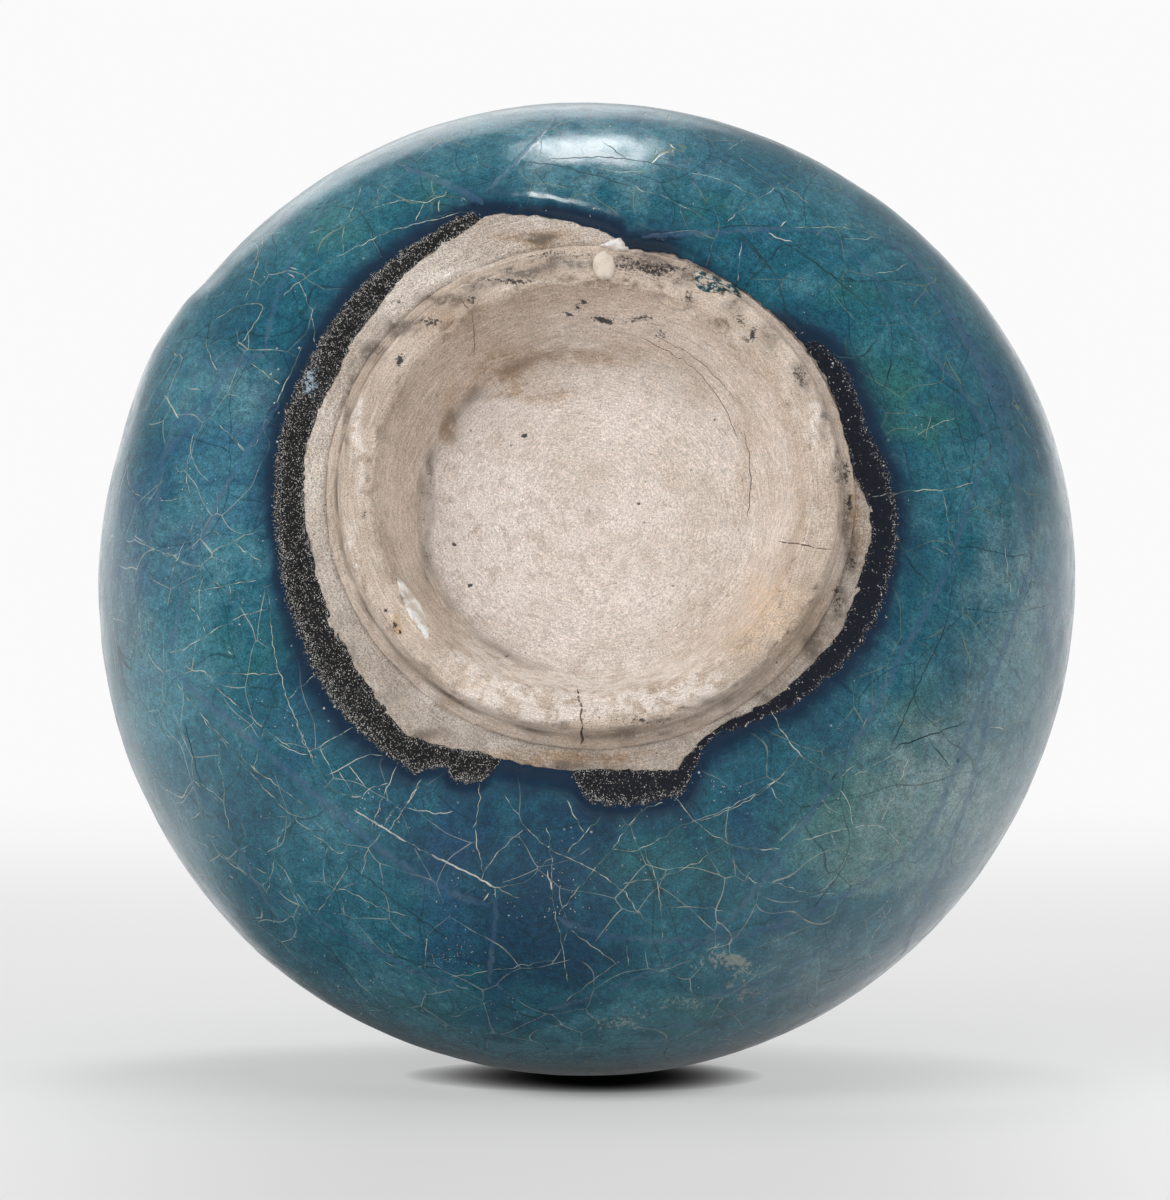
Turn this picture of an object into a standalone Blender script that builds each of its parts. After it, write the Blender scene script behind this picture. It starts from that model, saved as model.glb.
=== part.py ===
"""Glazed pottery flask: a round body on a turned foot, mended from sherds, with a slim neck and flared mouth.

The flask stands on its foot with its axis on +Z and the foot's resting face at z = 0. Azimuths are in
degrees from +X, turning towards +Y.
"""

import math

import bmesh
import bpy
from mathutils import Vector
from mathutils.geometry import delaunay_2d_cdt

# Body, over the glaze
BODY_RADIUS = 0.100
BELLY_HEIGHT = 0.070
SHOULDER_RISE = 0.100
SHOULDER_END_ANGLE = 147.0

# Foot and base
FOOT_HEIGHT = 0.0048
FOOT_ROOT_RADIUS = 0.0513
FOOT_RIM_RADIUS = 0.0485
FOOT_RIM_WIDTH = 0.0060
FOOT_EDGE_ROUND = 0.0013
RECESS_RADIUS = 0.0328
RECESS_DEPTH = 0.0175
FLOOR_THICKNESS = 0.0090
KICK_INSET = 0.0040

# Neck and mouth, over the glaze
NECK_RADIUS = 0.0190
NECK_START_HEIGHT = 0.1860
MOUTH_RADIUS = 0.0290
MOUTH_HEIGHT = 0.2580
MOUTH_GLAZE_DEPTH = 0.0250
FLARE_ANGLE = 33.5

# Reach of the curves' handles, as shares of the lengths that they join
SHOULDER_BLEND_SHARE = 0.42
NECK_STRAIGHT_SHARE = 0.55
FLARE_SHARE = 0.30

# Walls, coats and clearances
WALL_THICKNESS = 0.0070
NECK_WALL_THICKNESS = 0.0050
GLAZE_THICKNESS = 0.0009
COAT_GAP = 0.0004
JOIN_GAP = 0.0006

# Lumps on the foot, each sized across, along the slope and out from it
DROP_AZIMUTH = -86.0
DROP_SIZE = (0.0052, 0.0046, 0.0044)
SPLASH_AZIMUTH = -57.0
SPLASH_SIZE = (0.0090, 0.0036, 0.0026)
SMEAR_AZIMUTH = 147.0
SMEAR_SIZE = (0.0140, 0.0034, 0.0026)
SMEAR_BEVEL_SHARE = 0.42

# Fineness
TURN_STEPS = 40
SHOULDER_STEPS = 6
BLEND_STEPS = 4
NECK_STEPS = 6
LIP_STEPS = 5
CORNER_STEPS = 3
PATCH_STEP = 0.0110
PATCH_EDGE_SHARE = 0.45
EDGE_STEP = 0.0045
EDGE_HALVINGS = 30
MITRE_LIMIT = 0.4
LUMP_STEPS = (16, 10)
SMOOTH_ANGLE = 35.0
MERGE_DISTANCE = 0.00001
MILLIMETRE = 0.001

COAT = GLAZE_THICKNESS + COAT_GAP
ROOT_SHARE = math.sqrt(1 - (FOOT_ROOT_RADIUS / BODY_RADIUS) ** 2)
FLATTENING = (BODY_RADIUS * ROOT_SHARE - BELLY_HEIGHT + FOOT_HEIGHT - COAT) / ROOT_SHARE**3
ROOT_ANGLE = math.degrees(math.asin((FOOT_ROOT_RADIUS + JOIN_GAP) / BODY_RADIUS))

# Width in millimetres of the bare clay between the foot and the glaze's uneven edge, by azimuth
BARE_CLAY = [
    (-178, 6.3), (-165, 6.3), (-151, 7.0), (-137, 8.0), (-121, 9.5), (-114, 10.5), (-108, 12.6), (-101, 10.0),
    (-90, 5.0), (-83, 2.0), (-76, 1.0), (-13, 1.0), (-5, 1.8), (2, 3.9), (7, 5.0), (20, 4.4), (29, 5.5),
    (44, 3.9), (60, 2.2), (67, 3.0), (73, 7.2), (80, 5.6), (88, 4.6), (104, 5.2), (112, 5.5), (120, 7.6),
    (126, 9.7), (138, 7.6), (154, 6.4), (165, 5.4),
]

# Mended breaks, as (azimuth, share of the wall from the foot at 0 to the widest line at 1)
BREAKS = {
    "left_start": [(203, 0), (199, 0.13)],
    "left_fall": [
        (199, 0.13), (193, 0.18), (183, 0.25), (178, 0.30), (174, 0.345), (170, 0.39), (166, 0.43), (161, 0.49),
    ],
    "low_left": [(101, 0.39), (107, 0.38), (120, 0.36), (129, 0.34), (145, 0.37), (155, 0.44), (161, 0.49)],
    "fork": [(199, 0.13), (203, 0.19), (206, 0.25)],
    "upper_left": [(206, 0.25), (213, 0.31), (219, 0.35), (225, 0.42), (235, 0.55), (242, 0.75), (246, 1)],
    "far_left": [
        (206, 0.25), (203, 0.355), (196, 0.36), (193, 0.405), (190, 0.48), (184, 0.475), (179, 0.50),
        (174, 0.53), (172, 0.59), (168, 0.8), (166, 1),
    ],
    "top": [(252, 0), (252, 0.21), (257, 0.27), (263, 0.42), (268, 0.66), (272, 1)],
    "upper_right": [(280, 0), (284, 0.05), (295, 0.125), (304, 0.26), (310, 0.35)],
    "right_branch": [(310, 0.35), (313, 0.5)],
    "right_rise": [(313, 0.5), (315, 0.66), (318, 1)],
    "right_outer": [
        (313, 0.5), (328, 0.54), (345, 0.54), (357, 0.53), (361, 0.57), (373, 0.50), (385, 0.48), (391, 0.50),
        (398, 0.55),
    ],
    "right_fall": [(398, 0.55), (410, 0.9), (412, 1)],
    "low_arc": [(398, 0.55), (405, 0.59), (413, 0.555), (424, 0.53), (433, 0.47)],
    "right_inner": [
        (310, 0.35), (318, 0.34), (329, 0.32), (340, 0.38), (348, 0.44), (358, 0.31), (368, 0.26), (386, 0.20),
        (399, 0.22), (408, 0.26), (416, 0.30), (425, 0.39), (433, 0.47),
    ],
    "low_right": [(433, 0.47), (443, 0.57), (458, 0.66)],
    "bottom_start": [(98, 0), (100, 0.2), (101, 0.39)],
    "bottom_middle": [(101, 0.39), (98, 0.66)],
    "bottom_end": [(98, 0.66), (96, 0.8), (94, 1)],
    "low_outer": [
        (98, 0.66), (105, 0.64), (110, 0.66), (119, 0.625), (131, 0.69), (137, 0.64), (150, 0.62), (156, 0.56),
        (161, 0.49),
    ],
    "far_low": [(161, 0.49), (160, 0.75), (158, 1)],
}

# Each sherd's outline, counter-clockwise from outside: breaks, with a minus where one is run backwards.
# The foot and the widest line close an outline where it reaches them.
SHERDS = {
    "right": ["bottom_start", "bottom_middle", "-low_right", "-right_inner", "-upper_right"],
    "left": ["left_start", "left_fall", "-low_left", "-bottom_start"],
    "top_left": ["top", "-upper_left", "-fork", "-left_start"],
    "top": ["upper_right", "right_branch", "right_rise", "-top"],
    "side": ["-left_fall", "fork", "far_left", "-far_low"],
    "upper_side": ["-far_left", "upper_left"],
    "right_middle": ["right_inner", "-low_arc", "-right_outer", "-right_branch"],
    "right_outer": ["right_outer", "right_fall", "-right_rise"],
    "low_right": ["low_arc", "low_right", "bottom_end", "-right_fall"],
    "low_left": ["low_left", "-low_outer", "-bottom_middle"],
    "low_outer": ["low_outer", "far_low", "-bottom_end"],
}


def clear_scene():
    for item in list(bpy.data.objects):
        bpy.data.objects.remove(item)


def new_collection(name):
    collection = bpy.data.collections.new(name)
    bpy.context.scene.collection.children.link(collection)
    return collection


def new_material(name, colour, roughness):
    material = bpy.data.materials.new(name)
    material.use_nodes = True
    shader = material.node_tree.nodes["Principled BSDF"]
    shader.inputs["Base Color"].default_value = (*colour, 1)
    shader.inputs["Roughness"].default_value = roughness
    shader.inputs["Metallic"].default_value = 0
    return material


def new_object(name, mesh, collection, material, parent):
    item = bpy.data.objects.new(name, mesh)
    collection.objects.link(item)
    item.parent = parent
    mesh.materials.append(material)
    mesh.shade_smooth()
    mesh.set_sharp_from_angle(angle=math.radians(SMOOTH_ANGLE))
    return item


def turned(name, section, collection, material, parent):
    """A solid of revolution from a clockwise section in (radius, height), left open where it ends on the axis."""
    on_axis = section[0][0] == 0
    count = len(section)
    edges = [(i, i + 1) for i in range(count - 1)]
    if not on_axis:
        edges.append((count - 1, 0))
    mesh = bpy.data.meshes.new(name)
    mesh.from_pydata([(r, 0, z) for r, z in section], edges, [])
    item = new_object(name, mesh, collection, material, parent)
    screw = item.modifiers.new("Turn", "SCREW")
    screw.steps = TURN_STEPS
    screw.render_steps = TURN_STEPS
    screw.use_merge_vertices = True
    screw.merge_threshold = MERGE_DISTANCE
    return item


def moved(points, distance):
    """A line of (radius, height) points moved to its right: outwards, for one that runs up the outside."""
    result = []
    for i, (r, z) in enumerate(points):
        r0, z0 = points[max(i - 1, 0)]
        r1, z1 = points[min(i + 1, len(points) - 1)]
        length = math.hypot(r1 - r0, z1 - z0)
        result.append((r + distance * (z1 - z0) / length, z - distance * (r1 - r0) / length))
    return result


def grown(section, distance):
    """A closed clockwise section with each side moved outwards by the same distance."""
    result = []
    for i, here in enumerate(section):
        before = Vector(here) - Vector(section[i - 1])
        after = Vector(section[(i + 1) % len(section)]) - Vector(here)
        first = Vector((-before.y, before.x)).normalized()
        second = Vector((-after.y, after.x)).normalized()
        shift = (first + second) * distance / (1 + first.dot(second))
        result.append((here[0] + shift.x, here[1] + shift.y))
    return result


def bezier(start, first, second, end, count):
    points = []
    for i in range(1, count + 1):
        t = i / count
        s = 1 - t
        weights = (s**3, 3 * s * s * t, 3 * s * t * t, t**3)
        corners = (start, first, second, end)
        points.append(tuple(sum(w * c[k] for w, c in zip(weights, corners)) for k in (0, 1)))
    return points


def rounded_corner(before, corner, after, radius):
    """Points that round a corner between two straight sides."""
    to_before = (Vector(before) - Vector(corner)).normalized()
    to_after = (Vector(after) - Vector(corner)).normalized()
    half = to_before.angle(to_after) / 2
    reach = radius / math.tan(half)
    start = Vector(corner) + to_before * reach
    end = Vector(corner) + to_after * reach
    points = []
    for i in range(CORNER_STEPS + 1):
        t = i / CORNER_STEPS
        point = start.lerp(Vector(corner), t).lerp(Vector(corner).lerp(end, t), t)
        points.append(tuple(point))
    return points


def drop_pace(turn):
    """Metres that the wall drops for each radian of its angle."""
    return math.sin(turn) * (BODY_RADIUS - 3 * FLATTENING * math.cos(turn) ** 2)


def wall(angle, depth):
    """(radius, height) in the lower wall, at an angle from the axis and a depth under the glaze's face.

    The wall is a round that flattens towards the base.
    """
    turn = math.radians(angle)
    out = Vector((drop_pace(turn), -BODY_RADIUS * math.cos(turn))).normalized()
    drop = BODY_RADIUS * math.cos(turn) - FLATTENING * math.cos(turn) ** 3
    return BODY_RADIUS * math.sin(turn) - depth * out.x, BELLY_HEIGHT - drop - depth * out.y


def pace(angle):
    """Metres along the wall for each radian of its angle."""
    turn = math.radians(angle)
    return math.hypot(BODY_RADIUS * math.cos(turn), drop_pace(turn))


def bare_angle(azimuth):
    """The wall angle at which the glaze ends."""
    azimuth = (azimuth + 180) % 360 - 180
    ring = [(BARE_CLAY[-1][0] - 360, BARE_CLAY[-1][1]), *BARE_CLAY, (BARE_CLAY[0][0] + 360, BARE_CLAY[0][1])]
    for (a, width_a), (b, width_b) in zip(ring, ring[1:]):
        if a <= azimuth <= b:
            width = width_a + (width_b - width_a) * (azimuth - a) / (b - a)
            return ROOT_ANGLE + math.degrees(width * MILLIMETRE / pace(ROOT_ANGLE))
    raise ValueError(azimuth)


def sherd_outline(names):
    """A sherd's outline as (azimuth, wall angle) in degrees, with points close enough to follow the wall."""
    corners = []
    for name in names:
        line = BREAKS[name.lstrip("-")]
        for azimuth, share in reversed(line) if name.startswith("-") else line:
            if corners:
                azimuth += 360 * round((corners[-1][0] - azimuth) / 360)
            corners.append((azimuth, ROOT_ANGLE + share * (90 - ROOT_ANGLE)))
    points = []
    for i, (azimuth, angle) in enumerate(corners):
        next_azimuth, next_angle = corners[(i + 1) % len(corners)]
        radius = wall(angle, 0)[0]
        across = math.radians(next_azimuth - azimuth) * radius
        along = math.radians(next_angle - angle) * pace(angle)
        steps = math.ceil(math.hypot(across, along) / PATCH_STEP)
        for k in range(steps):
            t = k / steps
            points.append((azimuth + (next_azimuth - azimuth) * t, angle + (next_angle - angle) * t))
    return points


def glaze_crossing(above, below):
    """Where a break, from a point above the glaze's edge to one below it, meets that edge."""
    low, high = 0.0, 1.0
    for _ in range(EDGE_HALVINGS):
        t = (low + high) / 2
        azimuth = above[0] + (below[0] - above[0]) * t
        angle = above[1] + (below[1] - above[1]) * t
        if angle > bare_angle(azimuth):
            low = t
        else:
            high = t
    return azimuth, angle


def coated_outline(outline):
    """The glazed part of a sherd's outline, which follows the glaze's edge where the sherd is bare."""
    glazed = [angle >= bare_angle(azimuth) for azimuth, angle in outline]
    if all(glazed):
        return outline
    first = next(i for i, is_glazed in enumerate(glazed) if is_glazed and not glazed[i - 1])
    ring = outline[first:] + outline[:first]
    kept = ring[: sum(glazed)]
    start = glaze_crossing(kept[-1], ring[len(kept)])
    end = glaze_crossing(ring[0], ring[-1])
    steps = math.ceil(abs(math.radians(end[0] - start[0])) * FOOT_ROOT_RADIUS / EDGE_STEP)
    azimuths = [start[0] + (end[0] - start[0]) * i / steps for i in range(steps + 1)]
    return kept + [(azimuth, bare_angle(azimuth)) for azimuth in azimuths]


def drawn_in(outline, distance):
    """An outline of (azimuth, wall angle) moved inwards by a distance in metres along the wall."""
    result = []
    for i, (azimuth, angle) in enumerate(outline):
        across = math.radians(1) * wall(angle, 0)[0]
        along = math.radians(1) * pace(angle)
        sides = []
        for start, end in ((outline[i - 1], outline[i]), (outline[i], outline[(i + 1) % len(outline)])):
            step = Vector(((end[0] - start[0]) * across, (end[1] - start[1]) * along)).normalized()
            sides.append(Vector((-step.y, step.x)))
        shift = (sides[0] + sides[1]) * distance / max(1 + sides[0].dot(sides[1]), MITRE_LIMIT)
        result.append((azimuth + shift.x / across, angle + shift.y / along))
    return result


def inside(point, outline):
    crossings = 0
    for i, (x1, y1) in enumerate(outline):
        x0, y0 = outline[i - 1]
        if (y0 > point[1]) != (y1 > point[1]):
            crossings += point[0] < x0 + (x1 - x0) * (point[1] - y0) / (y1 - y0)
    return crossings % 2 == 1


def filled(outline):
    """Triangles that fill an outline of (azimuth, wall angle), with points inside it to follow the wall."""
    flat = [(math.radians(a) * BODY_RADIUS, math.radians(w) * BODY_RADIUS) for a, w in outline]
    count = len(flat)
    points = list(flat)
    clear = PATCH_STEP * PATCH_EDGE_SHARE
    left, right = min(p[0] for p in flat), max(p[0] for p in flat)
    low, high = min(p[1] for p in flat), max(p[1] for p in flat)
    rows = math.ceil((high - low) / PATCH_STEP)
    columns = math.ceil((right - left) / PATCH_STEP)
    for row in range(1, rows):
        for column in range(columns):
            point = (left + (column + row % 2 / 2) * PATCH_STEP, low + row * PATCH_STEP)
            if inside(point, flat) and min(math.dist(point, edge) for edge in flat) > clear:
                points.append(point)
    edges = [(i, (i + 1) % count) for i in range(count)]
    spots, _, faces, *_ = delaunay_2d_cdt([Vector(p) for p in points], edges, [], 1, 1e-7)
    return [(math.degrees(p.x / BODY_RADIUS), math.degrees(p.y / BODY_RADIUS)) for p in spots], faces


def shell(name, outline, outer_depth, inner_depth, collection, material, parent):
    """A piece of the wall inside an outline, between two depths under the glaze's face."""
    spots, faces = filled(drawn_in(outline, JOIN_GAP / 2))
    body = bmesh.new()
    skins = []
    for depth in (outer_depth, inner_depth):
        skin = []
        for azimuth, angle in spots:
            radius, height = wall(angle, depth)
            turn = math.radians(azimuth)
            skin.append(body.verts.new((radius * math.cos(turn), radius * math.sin(turn), height)))
        skins.append(skin)
    sides = {}
    for face in faces:
        body.faces.new([skins[0][i] for i in face])
        body.faces.new([skins[1][i] for i in reversed(face)])
        for i, start in enumerate(face):
            sides[start, face[(i + 1) % len(face)]] = True
    for start, end in sides:
        if (end, start) not in sides:
            body.faces.new((skins[0][end], skins[0][start], skins[1][start], skins[1][end]))
    bmesh.ops.recalc_face_normals(body, faces=body.faces)
    mesh = bpy.data.meshes.new(name)
    body.to_mesh(mesh)
    body.free()
    return new_object(name, mesh, collection, material, parent)


def foot_section():
    """The foot ring: resting face, outer wall, seat under the base and the wide bevel inside."""
    seat_outer = (FOOT_ROOT_RADIUS, seat_height(FOOT_ROOT_RADIUS) - COAT_GAP)
    seat_inner = (RECESS_RADIUS, RECESS_DEPTH - COAT_GAP)
    rim_outer = (FOOT_RIM_RADIUS, 0)
    rim_inner = (FOOT_RIM_RADIUS - FOOT_RIM_WIDTH, 0)
    section = [seat_outer]
    section += rounded_corner(seat_outer, rim_outer, rim_inner, FOOT_EDGE_ROUND)
    section += rounded_corner(rim_outer, rim_inner, seat_inner, FOOT_EDGE_ROUND)
    section.append(seat_inner)
    return section


def seat_height(radius):
    """Height of the cone under the base that the foot ring is luted to."""
    outer_radius, outer_height = wall(ROOT_ANGLE, COAT)
    share = (radius - RECESS_RADIUS) / (outer_radius - RECESS_RADIUS)
    return RECESS_DEPTH + (outer_height - RECESS_DEPTH) * share


def floor_section():
    """The base: flat in the recess, coned over the foot and thick enough to carry the wall's edge."""
    edge = ROOT_ANGLE - math.degrees(JOIN_GAP / 2 / pace(ROOT_ANGLE))
    top = RECESS_DEPTH + FLOOR_THICKNESS
    return [
        (0, top),
        (RECESS_RADIUS - KICK_INSET, top),
        wall(edge, COAT + WALL_THICKNESS),
        wall(edge, COAT),
        (RECESS_RADIUS, RECESS_DEPTH),
        (0, RECESS_DEPTH),
    ]


def upper_outline():
    """The glaze's face from the widest line to the mouth, and the number of the point where the neck starts."""
    points = []
    for i in range(SHOULDER_STEPS + 1):
        turn = math.radians(90 + (SHOULDER_END_ANGLE - 90) * i / SHOULDER_STEPS)
        points.append((BODY_RADIUS * math.sin(turn), BELLY_HEIGHT - SHOULDER_RISE * math.cos(turn)))
    shoulder = Vector(points[-1])
    slope = (shoulder - Vector(points[-2])).normalized()
    neck = Vector((NECK_RADIUS, NECK_START_HEIGHT))
    reach = (neck - shoulder).length * SHOULDER_BLEND_SHARE
    points += bezier(shoulder, shoulder + slope * reach, neck - Vector((0, reach)), neck, BLEND_STEPS)
    mouth = Vector((MOUTH_RADIUS, MOUTH_HEIGHT))
    neck_length = MOUTH_HEIGHT - NECK_START_HEIGHT
    straight = Vector((0, neck_length * NECK_STRAIGHT_SHARE))
    lean = math.radians(FLARE_ANGLE)
    flare = Vector((math.sin(lean), math.cos(lean))) * neck_length * FLARE_SHARE
    points += bezier(neck, neck + straight, mouth - flare, mouth, NECK_STEPS)
    return points, SHOULDER_STEPS + BLEND_STEPS


def on_waist(points):
    """A line up the wall from the widest line, with its first point level with the joint there."""
    return [(points[0][0], BELLY_HEIGHT + JOIN_GAP / 2), *points[1:]]


def upper_clay():
    """Outer and inner faces of the shoulder's and neck's clay, and the point where the neck is set in."""
    points, joint = upper_outline()
    outer = on_waist(moved(points, -COAT))
    inner = []
    for i, (thick, thin) in enumerate(
        zip(moved(points, -COAT - WALL_THICKNESS), moved(points, -COAT - NECK_WALL_THICKNESS))
    ):
        share = min(max((i - SHOULDER_STEPS) / BLEND_STEPS, 0), 1)
        inner.append(tuple(Vector(thick).lerp(Vector(thin), share)))
    return outer, on_waist(inner), joint


def lip_arc(outer_end, inner_end):
    """The rounded top of the lip, from its outer to its inner face."""
    middle = (Vector(outer_end) + Vector(inner_end)) / 2
    across = Vector(outer_end) - middle
    upward = Vector((-across.y, across.x))
    turns = (math.pi * i / LIP_STEPS for i in range(1, LIP_STEPS))
    return [tuple(middle + across * math.cos(turn) + upward * math.sin(turn)) for turn in turns]


def shoulder_section():
    """Upper half of the body. Half of its wall stops short at the top, as a ledge for the neck."""
    outer, inner, joint = upper_clay()
    middle = [tuple((Vector(a) + Vector(b)) / 2) for a, b in zip(outer, inner)]
    return [*reversed(outer[: joint + 1]), *inner[:joint], middle[joint - 1], middle[joint]]


def neck_section():
    """Neck and mouth. The inner half of its wall runs on down behind the shoulder's edge."""
    outer, inner, joint = upper_clay()
    middle = [tuple((Vector(a) + Vector(b)) / 2) for a, b in zip(outer, inner)]
    rise = (Vector(outer[joint + 1]) - Vector(outer[joint])).normalized() * JOIN_GAP
    inwards = (Vector(inner[joint]) - Vector(outer[joint])).normalized() * JOIN_GAP
    foot = [
        Vector(outer[joint]) + rise,
        Vector(middle[joint]) + rise + inwards,
        Vector(middle[joint - 1]) + rise + inwards,
        Vector(inner[joint - 1]) + rise,
    ]
    lip = lip_arc(outer[-1], inner[-1])
    return [*reversed(lip), *reversed(outer[joint + 1 :]), *map(tuple, foot), *inner[joint:]]


def upper_glaze_section():
    """Glaze over the shoulder and neck, over the lip and a little way down inside the mouth."""
    outer, inner, _ = upper_clay()
    clay = outer + lip_arc(outer[-1], inner[-1])
    clay += [point for point in reversed(inner) if point[1] > MOUTH_HEIGHT - MOUTH_GLAZE_DEPTH]
    return [*reversed(on_waist(moved(clay, COAT))), *on_waist(moved(clay, COAT_GAP))]


def lump(name, azimuth, place, slope, size, collection, material, parent, clearance):
    """A low lump on the foot: a ball pressed flat on a sloping side, then cut to fit against the foot.

    The place is (radius, height). The slope is a step along the side, with the open air on its right.
    """
    body = bmesh.new()
    bmesh.ops.create_uvsphere(body, u_segments=LUMP_STEPS[0], v_segments=LUMP_STEPS[1], radius=1)
    across, along, out = size
    bmesh.ops.scale(body, vec=Vector((along, across, out)) / 2, verts=body.verts)
    mesh = bpy.data.meshes.new(name)
    body.to_mesh(mesh)
    body.free()
    item = new_object(name, mesh, collection, material, parent)
    radius, height = place
    turn = math.radians(azimuth)
    item.location = (radius * math.cos(turn), radius * math.sin(turn), height)
    item.rotation_euler = (0, math.atan2(slope.y, -slope.x), turn)
    cut = item.modifiers.new("Seat", "BOOLEAN")
    cut.operation = "DIFFERENCE"
    cut.object = clearance
    return item


def build():
    clear_scene()
    parts = new_collection("pottery_flask")
    cutters = new_collection("flask_cutters")
    axis = bpy.data.objects.new("flask_axis", None)
    parts.objects.link(axis)

    foot_clay = new_material("bare_foot_clay", (0.66, 0.55, 0.46), 0.85)
    wall_clay = new_material("stone_paste", (0.70, 0.61, 0.52), 0.9)
    glaze = new_material("turquoise_glaze", (0.02, 0.16, 0.24), 0.15)
    plaster = new_material("plaster", (0.80, 0.76, 0.70), 0.9)

    turned("foot_ring", foot_section(), parts, foot_clay, axis)
    turned("base_floor", floor_section(), parts, foot_clay, axis)
    turned("shoulder", shoulder_section(), parts, wall_clay, axis)
    turned("neck", neck_section(), parts, wall_clay, axis)
    turned("glaze_upper", upper_glaze_section(), parts, glaze, axis)

    for name, names in SHERDS.items():
        outline = sherd_outline(names)
        shell("wall_" + name, outline, COAT, COAT + WALL_THICKNESS, parts, wall_clay, axis)
        shell("glaze_" + name, coated_outline(outline), 0, GLAZE_THICKNESS, parts, glaze, axis)

    clearance = turned("foot_clearance", grown(foot_section(), COAT_GAP), cutters, plaster, axis)
    clearance.hide_render = True
    clearance.display_type = "WIRE"
    rim = Vector((FOOT_RIM_RADIUS, 0))
    root = Vector((FOOT_ROOT_RADIUS, FOOT_HEIGHT))
    side = rim.lerp(root, 0.5)
    lump("plaster_drop", DROP_AZIMUTH, side, root - rim, DROP_SIZE, parts, plaster, axis, clearance)
    lump("glaze_splash", SPLASH_AZIMUTH, side, root - rim, SPLASH_SIZE, parts, glaze, axis, clearance)
    bevel_low = Vector((FOOT_RIM_RADIUS - FOOT_RIM_WIDTH, 0))
    bevel_high = Vector((RECESS_RADIUS, RECESS_DEPTH))
    slope = bevel_low - bevel_high
    spot = bevel_low.lerp(bevel_high, SMEAR_BEVEL_SHARE)
    lump("plaster_smear", SMEAR_AZIMUTH, spot, slope, SMEAR_SIZE, parts, plaster, axis, clearance)


build()
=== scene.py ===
"""A glazed pottery flask, broken and mended, dressed around its solids and seen from its base."""

import math

import bpy
import numpy as np
from mathutils import Matrix, Vector
from mathutils.bvhtree import BVHTree


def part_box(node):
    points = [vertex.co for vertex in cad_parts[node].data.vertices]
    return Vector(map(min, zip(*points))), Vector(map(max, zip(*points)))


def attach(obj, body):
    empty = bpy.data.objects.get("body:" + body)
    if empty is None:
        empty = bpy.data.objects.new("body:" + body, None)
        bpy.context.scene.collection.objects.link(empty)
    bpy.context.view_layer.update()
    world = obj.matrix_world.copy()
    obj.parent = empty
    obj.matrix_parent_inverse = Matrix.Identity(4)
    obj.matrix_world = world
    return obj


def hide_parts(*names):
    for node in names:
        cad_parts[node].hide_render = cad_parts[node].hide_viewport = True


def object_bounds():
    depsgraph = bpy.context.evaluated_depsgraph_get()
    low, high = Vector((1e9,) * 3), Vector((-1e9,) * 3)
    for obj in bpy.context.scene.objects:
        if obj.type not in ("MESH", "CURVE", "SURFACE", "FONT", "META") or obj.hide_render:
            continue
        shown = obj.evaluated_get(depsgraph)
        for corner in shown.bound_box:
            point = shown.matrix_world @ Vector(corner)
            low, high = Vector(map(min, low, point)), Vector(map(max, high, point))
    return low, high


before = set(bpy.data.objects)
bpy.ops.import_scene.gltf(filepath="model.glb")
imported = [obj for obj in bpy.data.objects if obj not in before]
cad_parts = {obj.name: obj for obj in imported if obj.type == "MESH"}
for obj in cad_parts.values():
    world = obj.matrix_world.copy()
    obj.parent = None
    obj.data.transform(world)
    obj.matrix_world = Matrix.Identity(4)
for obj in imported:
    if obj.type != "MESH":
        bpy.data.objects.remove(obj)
cad_low, cad_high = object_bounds()
scene = bpy.context.scene

# Camera. It stands just above the surface that the flask lies on and looks at its base. The flask keeps its
# own upright frame here, so the camera is below the foot and looks up, with the flask's -Y side uppermost.
PHOTO_WIDTH = 1170
PHOTO_HEIGHT = 1200
BODY_PIXEL_CENTRE = (587.4, 588.5)
BODY_PIXEL_RADIUS = 487.3
CAMERA_DISTANCE = 1.2
CAMERA_TILT = math.radians(16.5)
CAMERA_YAW = math.radians(-0.5)
SENSOR_SIZE = 36.0
body_radius = cad_high.x
belly_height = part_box("shoulder")[0].z
focal_pixels = BODY_PIXEL_RADIUS * math.sqrt(CAMERA_DISTANCE**2 - body_radius**2) / body_radius

to_camera = Vector((math.tan(CAMERA_YAW), math.sin(CAMERA_TILT), -math.cos(CAMERA_TILT))).normalized()
eye = Vector((0, 0, belly_height)) + to_camera * CAMERA_DISTANCE
sight_up = (Vector((0, -1, 0)) - to_camera * to_camera.dot(Vector((0, -1, 0)))).normalized()
sight_right = sight_up.cross(to_camera)
off_right = (PHOTO_WIDTH / 2 - BODY_PIXEL_CENTRE[0]) / focal_pixels
off_up = (BODY_PIXEL_CENTRE[1] - PHOTO_HEIGHT / 2) / focal_pixels
forward = (sight_right * off_right + sight_up * off_up - to_camera).normalized()
sight_up = (sight_up - forward * forward.dot(sight_up)).normalized()
sight_right = forward.cross(sight_up)

camera = bpy.data.objects.new("camera", bpy.data.cameras.new("camera"))
scene.collection.objects.link(camera)
camera.data.sensor_width = SENSOR_SIZE
camera.data.lens = SENSOR_SIZE * focal_pixels / PHOTO_HEIGHT
camera.data.clip_start = 0.05
camera.data.clip_end = 20
camera_turn = Matrix((sight_right, sight_up, -forward)).transposed().to_4x4()
camera.matrix_world = Matrix.Translation(eye) @ camera_turn
scene.camera = camera


def sight_lines(pixels):
    """Lines of sight from the camera through pixels of the photograph."""
    across, down = np.array(pixels, float).T
    lines = np.outer(across - PHOTO_WIDTH / 2, sight_right) + np.outer(PHOTO_HEIGHT / 2 - down, sight_up)
    lines = lines / focal_pixels + np.array(forward)
    return lines / np.linalg.norm(lines, axis=1, keepdims=True)


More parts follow.
